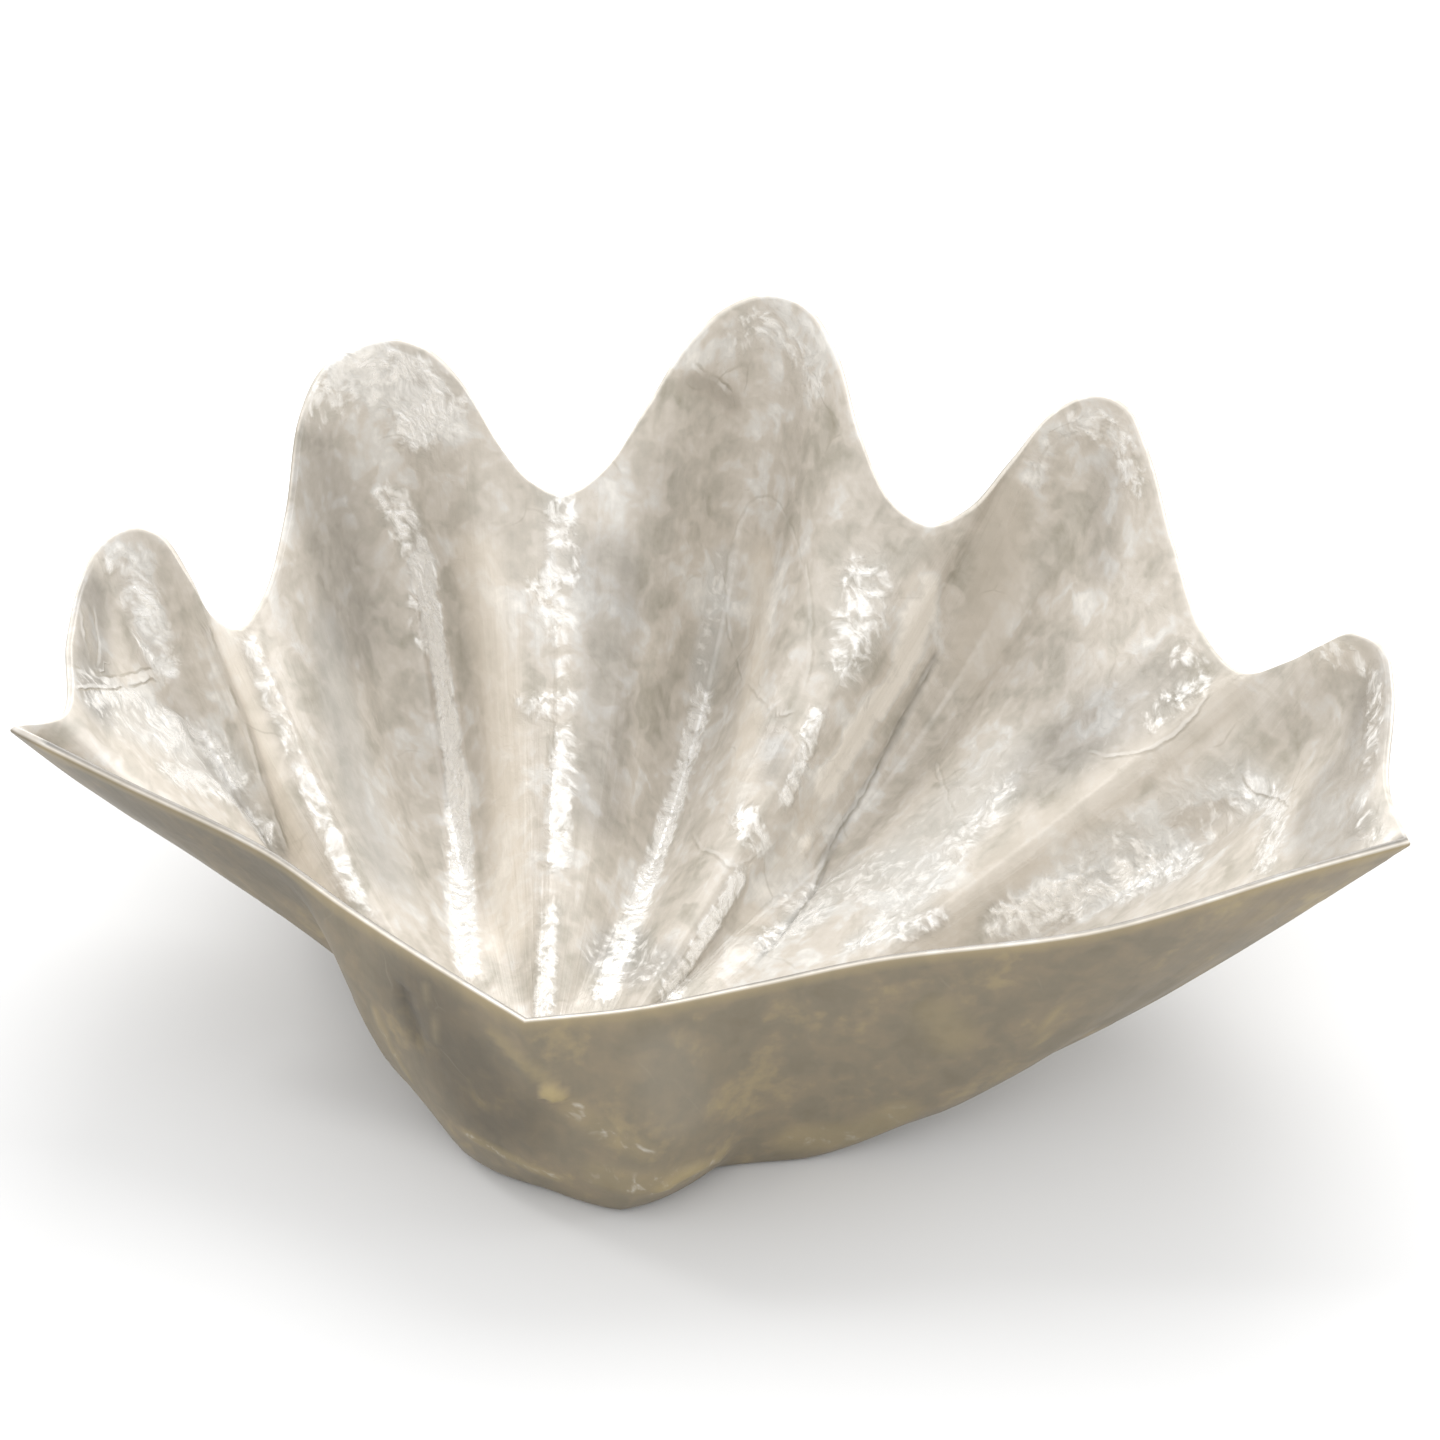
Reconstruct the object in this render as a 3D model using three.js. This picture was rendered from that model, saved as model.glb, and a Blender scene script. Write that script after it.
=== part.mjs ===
// Pearl shell dish in the form of one giant-clam valve, built as a single thin shell.
// Millimetres, +Z up, +X along the length, the beak in front on -Y, the lobes at the back.
import * as THREE from 'three';

// Wall and base
const WALL = 4; // wall thickness, the width of the rim in the photograph
const BASE = 2; // height of the middle of the wall where the dish stands
const SETTLE = 6.4; // depth by which the underside is flattened where it stands
const SETTLE_BLEND = 3; // half width of the soft change from flat to curved
const RADIAL_STEPS = 20; // rings from the pole to the rim

// The pole is the point on the floor behind the beak where all the folds start.
const POLE = { x: -50, y: 24 };
const POLE_BLEND = 0.24; // share of each rib over which it lifts off the floor
const UPRIGHT_BLEND = 0.3; // share of each rib over which the wall turns from flat
const CREASE = 0.5; // how sharply the wall turns at the named ribs: 0 is round, 1 is a crease
const WALL_SMOOTHING = 3; // columns on each side that the wall direction is averaged over
const CENTRE = { x: 1.4, y: 178.5 }; // middle of the dish's box, moved to the origin

// Rim of the dish, anticlockwise from above, starting at the beak.
// Each row: name, x, y, height, columns up to the next point.
const RIM = [
  ['beak', -40, -20, 108, 3],
  ['right front 1', 2, -6, 110, 3],
  ['right front 2', 45, 10, 116, 3],
  ['right front 3', 92, 24, 126, 4],
  ['right front 4', 176, 45, 138, 4],
  ['right front 5', 250, 81, 152, 3],
  ['right tip', 291, 102, 158, 2],
  ['right side', 281, 140, 156, 2],
  ['lobe 5 front', 279, 190, 168, 2],
  ['lobe 5 shoulder', 273, 211, 176, 1],
  ['lobe 5 top', 261, 218, 177, 2],
  ['lobe 5 back', 249, 228, 163, 2],
  ['lobe 5 foot', 236, 238, 146, 2],
  ['notch 45', 216, 244, 133, 2],
  ['lobe 4 foot', 197, 262, 138, 2],
  ['lobe 4 front', 177, 299, 162, 2],
  ['lobe 4 flank', 161, 326, 191, 2],
  ['lobe 4 shoulder', 149, 338, 206, 1],
  ['lobe 4 top', 135, 341, 209, 2],
  ['lobe 4 back', 116, 344, 196, 2],
  ['lobe 4 side', 98, 343, 168, 2],
  ['lobe 4 end', 82, 334, 147, 2],
  ['notch 34', 64, 326, 140, 2],
  ['lobe 3 foot', 46, 325, 150, 2],
  ['lobe 3 flank', 29, 334, 178, 2],
  ['lobe 3 side', 12, 358, 208, 2],
  ['lobe 3 shoulder', -4, 373, 221, 2],
  ['lobe 3 top', -23, 377, 224, 2],
  ['lobe 3 left shoulder', -40, 369, 220, 2],
  ['lobe 3 left side', -56, 352, 208, 2],
  ['lobe 3 left flank', -73, 333, 180, 2],
  ['lobe 3 left foot', -90, 322, 153, 2],
  ['notch 23', -108, 315, 141, 2],
  ['lobe 2 foot', -124, 313, 148, 2],
  ['lobe 2 flank', -138, 311, 168, 2],
  ['lobe 2 side', -154, 311, 198, 2],
  ['lobe 2 shoulder', -171, 314, 212, 2],
  ['lobe 2 top', -191, 314, 215, 2],
  ['lobe 2 left shoulder', -213, 296, 209, 2],
  ['lobe 2 left side', -220, 276, 193, 2],
  ['lobe 2 left flank', -219, 244, 160, 2],
  ['lobe 2 left foot', -220, 208, 137, 2],
  ['notch 12', -227, 190, 130, 1],
  ['lobe 1 foot', -237, 186, 138, 2],
  ['lobe 1 flank', -247, 188, 157, 2],
  ['lobe 1 shoulder', -260, 192, 174, 1],
  ['lobe 1 top', -274, 192, 176, 1],
  ['lobe 1 left shoulder', -286, 184, 170, 1],
  ['lobe 1 left side', -288, 166, 163, 2],
  ['lobe 1 front', -280, 127, 158, 3],
  ['left side', -266, 80, 152, 2],
  ['left tip', -281, 64, 155, 3],
  ['left front 5', -233, 55, 142, 4],
  ['left front 4', -164, 37, 129, 3],
  ['left front 3', -124, 19, 120, 3],
  ['left front 2', -84, -3, 117, 3],
];

// The rim has a sharp point at the beak and at the two tips.
const CORNERS = ['beak', 'right tip', 'left tip'];

// Ribs run from the pole to the rim as smooth curves. Each row tells, at one rim point:
// floor: how far along the rib the floor stays level
// wall: how far out the wall reaches before it rises to the rim
// turn: degrees that the rib swings towards the left on its way
// rise: share of the rim height already gained at the foot of the wall
// lift: millimetres that the rib climbs soon after the pole
const RIBS = {
  'beak': { floor: 0.4, wall: 0.88, turn: 0, rise: -0.05, lift: 0 },
  'right front 1': { floor: 0.9, wall: 1.3, turn: -6, rise: -0.05, lift: 0 },
  'right front 2': { floor: 0.8, wall: 1, turn: 12, rise: -0.15, lift: 0 },
  'right front 3': { floor: 0.8, wall: 1.05, turn: 9.5, rise: -0.15, lift: 0 },
  'right front 4': { floor: 0.55, wall: 0.86, turn: 8, rise: 0, lift: 0 },
  'right front 5': { floor: 0.48, wall: 0.8, turn: 4.2, rise: 0.36, lift: -10 },
  'right tip': { floor: 0.5, wall: 0.76, turn: 3.5, rise: 0.48, lift: -12 },
  'right side': { floor: 0.48, wall: 0.8, turn: 3.5, rise: 0.34, lift: -4 },
  'lobe 5 top': { floor: 0.5, wall: 0.94, turn: 8, rise: 0.02, lift: 0 },
  'notch 45': { floor: 0.42, wall: 0.82, turn: 7, rise: 0.42, lift: 6 },
  'lobe 4 top': { floor: 0.6, wall: 1, turn: 10, rise: -0.06, lift: 0 },
  'notch 34': { floor: 0.42, wall: 0.82, turn: 6, rise: 0.42, lift: 6 },
  'lobe 3 top': { floor: 0.6, wall: 1, turn: 3, rise: -0.06, lift: 0 },
  'notch 23': { floor: 0.42, wall: 0.82, turn: 0, rise: 0.42, lift: 6 },
  'lobe 2 top': { floor: 0.6, wall: 1, turn: -1, rise: -0.06, lift: 0 },
  'notch 12': { floor: 0.42, wall: 0.82, turn: -3, rise: 0.42, lift: 10 },
  'lobe 1 top': { floor: 0.42, wall: 0.88, turn: -1, rise: 0.12, lift: 20 },
  'lobe 1 left side': { floor: 0.42, wall: 0.82, turn: -3, rise: 0.3, lift: 50 },
  'left side': { floor: 0.42, wall: 0.8, turn: -10, rise: 0.42, lift: 84 },
  'left tip': { floor: 0.42, wall: 0.82, turn: -13, rise: 0.46, lift: 90 },
  'left front 5': { floor: 0.42, wall: 0.88, turn: -10, rise: 0.53, lift: 88 },
  'left front 4': { floor: 0.46, wall: 0.86, turn: -9, rise: 0.68, lift: 76 },
  'left front 3': { floor: 0.62, wall: 1.08, turn: -8, rise: 0.26, lift: 8 },
  'left front 2': { floor: 0.66, wall: 1, turn: -12, rise: 0.02, lift: 0 },
};

const RIB_KEYS = ['floor', 'wall', 'turn', 'rise', 'lift'];

// Soft step from 0 to 1
function smooth(value) {
  const t = Math.min(Math.max(value, 0), 1);
  return t * t * (3 - 2 * t);
}

// Place of one rim point
function rimPoint(index) {
  const row = RIM[(index + RIM.length) % RIM.length];
  return new THREE.Vector3(row[1], row[2], row[3]);
}

function isCorner(index) {
  return CORNERS.includes(RIM[(index + RIM.length) % RIM.length][0]);
}

// Point on the rim between two rows, on a centripetal spline that breaks at the corners
function rimBetween(index, share) {
  const p1 = rimPoint(index);
  const p2 = rimPoint(index + 1);
  const before = isCorner(index)
    ? p1.clone().multiplyScalar(2).sub(p2)
    : rimPoint(index - 1);
  const after = isCorner(index + 1)
    ? p2.clone().multiplyScalar(2).sub(p1)
    : rimPoint(index + 2);
  const k0 = 0;
  const k1 = k0 + Math.sqrt(before.distanceTo(p1));
  const k2 = k1 + Math.sqrt(p1.distanceTo(p2));
  const k3 = k2 + Math.sqrt(p2.distanceTo(after));
  const k = k1 + (k2 - k1) * share;
  const blend = (a, b, ka, kb) => a.clone().multiplyScalar((kb - k) / (kb - ka))
    .add(b.clone().multiplyScalar((k - ka) / (kb - ka)));
  const a1 = blend(before, p1, k0, k1);
  const a2 = blend(p1, p2, k1, k2);
  const a3 = blend(p2, after, k2, k3);
  const b1 = blend(a1, a2, k0, k2);
  const b2 = blend(a2, a3, k1, k3);
  return blend(b1, b2, k1, k2);
}

// All columns around the rim, each with its rim place and its rib
function makeColumns() {
  const columns = [];
  const firstColumn = [];
  RIM.forEach((row, index) => {
    firstColumn.push(columns.length);
    for (let step = 0; step < row[4]; step += 1) {
      columns.push({ rim: rimBetween(index, step / row[4]), rib: null });
    }
  });
  const shaped = RIM.map((row, index) => index).filter((index) => RIM[index][0] in RIBS);
  shaped.forEach((index, order) => {
    const next = shaped[(order + 1) % shaped.length];
    const start = firstColumn[index];
    const end = next > index ? firstColumn[next] : firstColumn[next] + columns.length;
    const from = RIBS[RIM[index][0]];
    const to = RIBS[RIM[next][0]];
    for (let place = start; place < end; place += 1) {
      const way = (place - start) / (end - start);
      const share = CREASE * way + (1 - CREASE) * smooth(way);
      const rib = {};
      RIB_KEYS.forEach((key) => {
        rib[key] = from[key] + (to[key] - from[key]) * share;
      });
      columns[place % columns.length].rib = rib;
    }
  });
  return columns;
}

// Point on the middle of the wall, at share t of the way from the pole to the rim
function middlePoint(column, t) {
  const { rim, rib } = column;
  const turn = THREE.MathUtils.degToRad(rib.turn);
  const dx = rim.x - POLE.x;
  const dy = rim.y - POLE.y;
  const ex = dx * Math.cos(turn) - dy * Math.sin(turn);
  const ey = dx * Math.sin(turn) + dy * Math.cos(turn);
  const pole = new THREE.Vector3(POLE.x, POLE.y, BASE);
  const floor = new THREE.Vector3(POLE.x + ex * rib.floor, POLE.y + ey * rib.floor, BASE + rib.lift);
  const wall = new THREE.Vector3(
    POLE.x + ex * rib.wall,
    POLE.y + ey * rib.wall,
    BASE + (rim.z - BASE) * rib.rise,
  );
  const point = new THREE.CubicBezierCurve3(pole, floor, wall, rim).getPoint(t);
  const height = (point.z - BASE) * smooth(t / POLE_BLEND);
  const above = height - SETTLE * (1 - t ** 3);
  let settled = above;
  if (above < -SETTLE_BLEND) settled = 0;
  else if (above < SETTLE_BLEND) settled = (above + SETTLE_BLEND) ** 2 / (4 * SETTLE_BLEND);
  point.z = BASE + settled;
  return point;
}

// Direction across the wall at each grid point, pointing into the dish.
// It is averaged around the dish, so the two faces of the wall never cross in a fold.
function wallDirections(middle) {
  const count = middle.length;
  const normals = middle.map((ribPoints, i) => ribPoints.map((point, j) => {
    const next = middle[(i + 1) % count][j];
    const last = middle[(i + count - 1) % count][j];
    const around = next.clone().sub(last);
    const outer = ribPoints[Math.min(j + 1, RADIAL_STEPS - 1)];
    const inner = ribPoints[Math.max(j - 1, 0)];
    return outer.clone().sub(inner).cross(around).normalize();
  }));
  return middle.map((ribPoints, i) => ribPoints.map((point, j) => {
    const sum = new THREE.Vector3();
    for (let k = -WALL_SMOOTHING; k <= WALL_SMOOTHING; k += 1) {
      const weight = Math.cos((k / (WALL_SMOOTHING + 1)) * (Math.PI / 2)) ** 2;
      sum.addScaledVector(normals[(i + k + count) % count][j], weight);
    }
    const share = smooth((j + 1) / RADIAL_STEPS / UPRIGHT_BLEND);
    const direction = new THREE.Vector3(0, 0, 1 - share);
    return direction.addScaledVector(sum.normalize(), share).normalize();
  }));
}

// The closed shell: inner face, outer face and the narrow rim between them
function makeShell() {
  const columns = makeColumns();
  const middle = columns.map((column) => {
    const ribPoints = [];
    for (let j = 1; j <= RADIAL_STEPS; j += 1) {
      ribPoints.push(middlePoint(column, j / RADIAL_STEPS));
    }
    return ribPoints;
  });
  const directions = wallDirections(middle);
  const positions = [];
  const add = (x, y, z) => positions.push(x - CENTRE.x, y - CENTRE.y, Math.max(z, 0));
  [WALL / 2, -WALL / 2].forEach((offset) => {
    middle.forEach((ribPoints, i) => ribPoints.forEach((point, j) => {
      const moved = point.clone().addScaledVector(directions[i][j], offset);
      add(moved.x, moved.y, moved.z);
    }));
    add(POLE.x, POLE.y, BASE + offset);
  });

  const count = columns.length;
  const faceSize = count * RADIAL_STEPS + 1;
  const indices = [];
  const quad = (a, b, c, d) => indices.push(a, b, c, a, c, d);
  const inner = (i, j) => (i % count) * RADIAL_STEPS + j;
  const outer = (i, j) => faceSize + inner(i, j);
  const rimRing = RADIAL_STEPS - 1;
  for (let i = 0; i < count; i += 1) {
    indices.push(faceSize - 1, inner(i, 0), inner(i + 1, 0));
    indices.push(2 * faceSize - 1, outer(i + 1, 0), outer(i, 0));
    for (let j = 0; j < rimRing; j += 1) {
      quad(inner(i, j), inner(i, j + 1), inner(i + 1, j + 1), inner(i + 1, j));
      quad(outer(i, j), outer(i + 1, j), outer(i + 1, j + 1), outer(i, j + 1));
    }
    quad(inner(i, rimRing), outer(i, rimRing), outer(i + 1, rimRing), inner(i + 1, rimRing));
  }
  const geometry = new THREE.BufferGeometry();
  geometry.setAttribute('position', new THREE.Float32BufferAttribute(positions, 3));
  geometry.setIndex(indices);
  geometry.computeVertexNormals();
  return geometry;
}

const pearl = new THREE.MeshStandardMaterial({
  name: 'mother_of_pearl',
  color: 0xd9cfc0,
  roughness: 0.3,
  metalness: 0.1,
});

const shell = new THREE.Mesh(makeShell(), pearl);
shell.name = 'shell';

const group = new THREE.Group();
group.name = 'pearl_shell_dish';
group.add(shell);

export default group;
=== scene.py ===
"""Pearl shell dish: one giant-clam valve with a thin wall covered in mother-of-pearl flakes.

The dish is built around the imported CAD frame, from the same named values as its solid.
Sizes in the tables are millimetres; Blender objects are in metres.
"""
import logging
import math
from dataclasses import dataclass, field
from enum import Enum
from functools import partial

import bpy
import numpy as np
from mathutils import Matrix, Vector


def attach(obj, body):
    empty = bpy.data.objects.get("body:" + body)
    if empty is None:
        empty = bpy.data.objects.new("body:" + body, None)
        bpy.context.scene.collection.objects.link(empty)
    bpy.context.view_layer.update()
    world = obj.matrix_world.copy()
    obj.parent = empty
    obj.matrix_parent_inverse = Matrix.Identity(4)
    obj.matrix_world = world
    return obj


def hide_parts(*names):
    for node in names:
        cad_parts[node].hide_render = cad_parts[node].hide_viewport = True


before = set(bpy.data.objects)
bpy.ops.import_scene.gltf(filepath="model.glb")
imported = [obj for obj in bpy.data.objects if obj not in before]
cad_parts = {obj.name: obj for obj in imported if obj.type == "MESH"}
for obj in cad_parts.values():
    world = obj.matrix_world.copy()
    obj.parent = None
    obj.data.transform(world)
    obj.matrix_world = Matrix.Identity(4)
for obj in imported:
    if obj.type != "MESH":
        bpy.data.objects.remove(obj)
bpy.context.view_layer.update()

LOG = logging.getLogger("pearl_shell_dish")
MM = 0.001  # metres in a millimetre

# Blender's names of the node types used most
MATH = "ShaderNodeMath"
VECTOR = "ShaderNodeVectorMath"
NOISE = "ShaderNodeTexNoise"
STEP = "ShaderNodeMapRange"
MIX = "ShaderNodeMix"

Sockets = dict[str, bpy.types.NodeSocket]


class Side(Enum):
    """The two faces of the wall, and the sign of their distance from its middle."""

    INNER = 1
    OUTER = -1


def linear(colour: str) -> tuple[float, float, float, float]:
    """Turn an sRGB hex colour to a linear colour.

    Args:
        colour: the colour as "#RRGGBB".

    Returns:
        Linear red, green, blue and an alpha of 1.
    """
    channels = [int(colour[i:i + 2], 16) / 255 for i in (1, 3, 5)]
    return (*(c / 12.92 if c <= 0.04045 else ((c + 0.055) / 1.055) ** 2.4 for c in channels), 1.0)


def smooth(value: np.ndarray | float) -> np.ndarray:
    """Return a soft step from 0 to 1 of the value."""
    t = np.clip(value, 0.0, 1.0)
    return t * t * (3 - 2 * t)


def unit(vectors: np.ndarray) -> np.ndarray:
    """Return the vectors at length 1."""
    return vectors / (np.linalg.norm(vectors, axis=-1, keepdims=True) + 1e-9)


def add_node(tree: bpy.types.NodeTree, kind: str, inputs: dict | tuple = (),
             **settings: object) -> bpy.types.Node:
    """Add one node to a tree, with its settings and links.

    Args:
        tree: the tree that gets the node.
        kind: Blender's name of the node type.
        inputs: what the inputs get, in their order or by name or number. Each is a value,
            an output socket, or a node, which stands for its first output.
        settings: the node's options by name.

    Returns:
        The new node.
    """
    node = tree.nodes.new(kind)
    for name, value in settings.items():
        setattr(node, name, value)
    for key, value in (inputs if isinstance(inputs, dict) else dict(enumerate(inputs))).items():
        if isinstance(value, bpy.types.Node):
            value = value.outputs[0]
        if isinstance(value, bpy.types.NodeSocket):
            tree.links.new(value, node.inputs[key])
        else:
            node.inputs[key].default_value = value
    return node


def fill_ramp(node: bpy.types.Node, stops: tuple[tuple[float, str], ...]) -> None:
    """Give a colour ramp its stops.

    Args:
        node: the colour ramp.
        stops: places from 0 to 1 in rising order, each with an sRGB hex colour.
    """
    ramp = node.color_ramp
    while len(ramp.elements) < len(stops):
        ramp.elements.new(1.0)
    for element, (place, colour) in zip(ramp.elements, stops):
        element.position = place
        element.color = linear(colour)


@dataclass(frozen=True)
class RimPoint:
    """One named place on the rim, in millimetres, as in the CAD source."""

    name: str
    x: float
    y: float
    height: float
    columns: int


@dataclass(frozen=True)
class Rib:
    """How the wall runs from the pole to one rim point, as in the CAD source.

    The wall follows a curve with two handles. Floor and wall are their shares of the way to
    the rim point, and turn swings both, in degrees. Lift is the first handle's height in
    millimetres, and rise is the second one's share of the rim's height.
    """

    floor: float
    wall: float
    turn: float
    rise: float
    lift: float


# name, x, y, height and columns of each rim point
RIM = tuple(RimPoint(*row) for row in (
    ("beak", -40, -20, 108, 3),
    ("right front 1", 2, -6, 110, 3),
    ("right front 2", 45, 10, 116, 3),
    ("right front 3", 92, 24, 126, 4),
    ("right front 4", 176, 45, 138, 4),
    ("right front 5", 250, 81, 152, 3),
    ("right tip", 291, 102, 158, 2),
    ("right side", 281, 140, 156, 2),
    ("lobe 5 front", 279, 190, 168, 2),
    ("lobe 5 shoulder", 273, 211, 176, 1),
    ("lobe 5 top", 261, 218, 177, 2),
    ("lobe 5 back", 249, 228, 163, 2),
    ("lobe 5 foot", 236, 238, 146, 2),
    ("notch 45", 216, 244, 133, 2),
    ("lobe 4 foot", 197, 262, 138, 2),
    ("lobe 4 front", 177, 299, 162, 2),
    ("lobe 4 flank", 161, 326, 191, 2),
    ("lobe 4 shoulder", 149, 338, 206, 1),
    ("lobe 4 top", 135, 341, 209, 2),
    ("lobe 4 back", 116, 344, 196, 2),
    ("lobe 4 side", 98, 343, 168, 2),
    ("lobe 4 end", 82, 334, 147, 2),
    ("notch 34", 64, 326, 140, 2),
    ("lobe 3 foot", 46, 325, 150, 2),
    ("lobe 3 flank", 29, 334, 178, 2),
    ("lobe 3 side", 12, 358, 208, 2),
    ("lobe 3 shoulder", -4, 373, 221, 2),
    ("lobe 3 top", -23, 377, 224, 2),
    ("lobe 3 left shoulder", -40, 369, 220, 2),
    ("lobe 3 left side", -56, 352, 208, 2),
    ("lobe 3 left flank", -73, 333, 180, 2),
    ("lobe 3 left foot", -90, 322, 153, 2),
    ("notch 23", -108, 315, 141, 2),
    ("lobe 2 foot", -124, 313, 148, 2),
    ("lobe 2 flank", -138, 311, 168, 2),
    ("lobe 2 side", -154, 311, 198, 2),
    ("lobe 2 shoulder", -171, 314, 212, 2),
    ("lobe 2 top", -191, 314, 215, 2),
    ("lobe 2 left shoulder", -213, 296, 209, 2),
    ("lobe 2 left side", -220, 276, 193, 2),
    ("lobe 2 left flank", -219, 244, 160, 2),
    ("lobe 2 left foot", -220, 208, 137, 2),
    ("notch 12", -227, 190, 130, 1),
    ("lobe 1 foot", -237, 186, 138, 2),
    ("lobe 1 flank", -247, 188, 157, 2),
    ("lobe 1 shoulder", -260, 192, 174, 1),
    ("lobe 1 top", -274, 192, 176, 1),
    ("lobe 1 left shoulder", -286, 184, 170, 1),
    ("lobe 1 left side", -288, 166, 163, 2),
    ("lobe 1 front", -280, 127, 158, 3),
    ("left side", -266, 80, 152, 2),
    ("left tip", -281, 64, 155, 3),
    ("left front 5", -233, 55, 142, 4),
    ("left front 4", -164, 37, 129, 3),
    ("left front 3", -124, 19, 120, 3),
    ("left front 2", -84, -3, 117, 3),
))

# The rim has a sharp point at the beak and at the two tips.
CORNERS = ("beak", "right tip", "left tip")

# floor, wall, turn, rise and lift of each rib
RIBS = {name: Rib(*row) for name, row in {
    "beak": (0.4, 0.88, 0, -0.05, 0),
    "right front 1": (0.9, 1.3, -6, -0.05, 0),
    "right front 2": (0.8, 1, 12, -0.15, 0),
    "right front 3": (0.8, 1.05, 9.5, -0.15, 0),
    "right front 4": (0.55, 0.86, 8, 0, 0),
    "right front 5": (0.48, 0.8, 4.2, 0.36, -10),
    "right tip": (0.5, 0.76, 3.5, 0.48, -12),
    "right side": (0.48, 0.8, 3.5, 0.34, -4),
    "lobe 5 top": (0.5, 0.94, 8, 0.02, 0),
    "notch 45": (0.42, 0.82, 7, 0.42, 6),
    "lobe 4 top": (0.6, 1, 10, -0.06, 0),
    "notch 34": (0.42, 0.82, 6, 0.42, 6),
    "lobe 3 top": (0.6, 1, 3, -0.06, 0),
    "notch 23": (0.42, 0.82, 0, 0.42, 6),
    "lobe 2 top": (0.6, 1, -1, -0.06, 0),
    "notch 12": (0.42, 0.82, -3, 0.42, 10),
    "lobe 1 top": (0.42, 0.88, -1, 0.12, 20),
    "lobe 1 left side": (0.42, 0.82, -3, 0.3, 50),
    "left side": (0.42, 0.8, -10, 0.42, 84),
    "left tip": (0.42, 0.82, -13, 0.46, 90),
    "left front 5": (0.42, 0.88, -10, 0.53, 88),
    "left front 4": (0.46, 0.86, -9, 0.68, 76),
    "left front 3": (0.62, 1.08, -8, 0.26, 8),
    "left front 2": (0.66, 1, -12, 0.02, 0),
}.items()}


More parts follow.
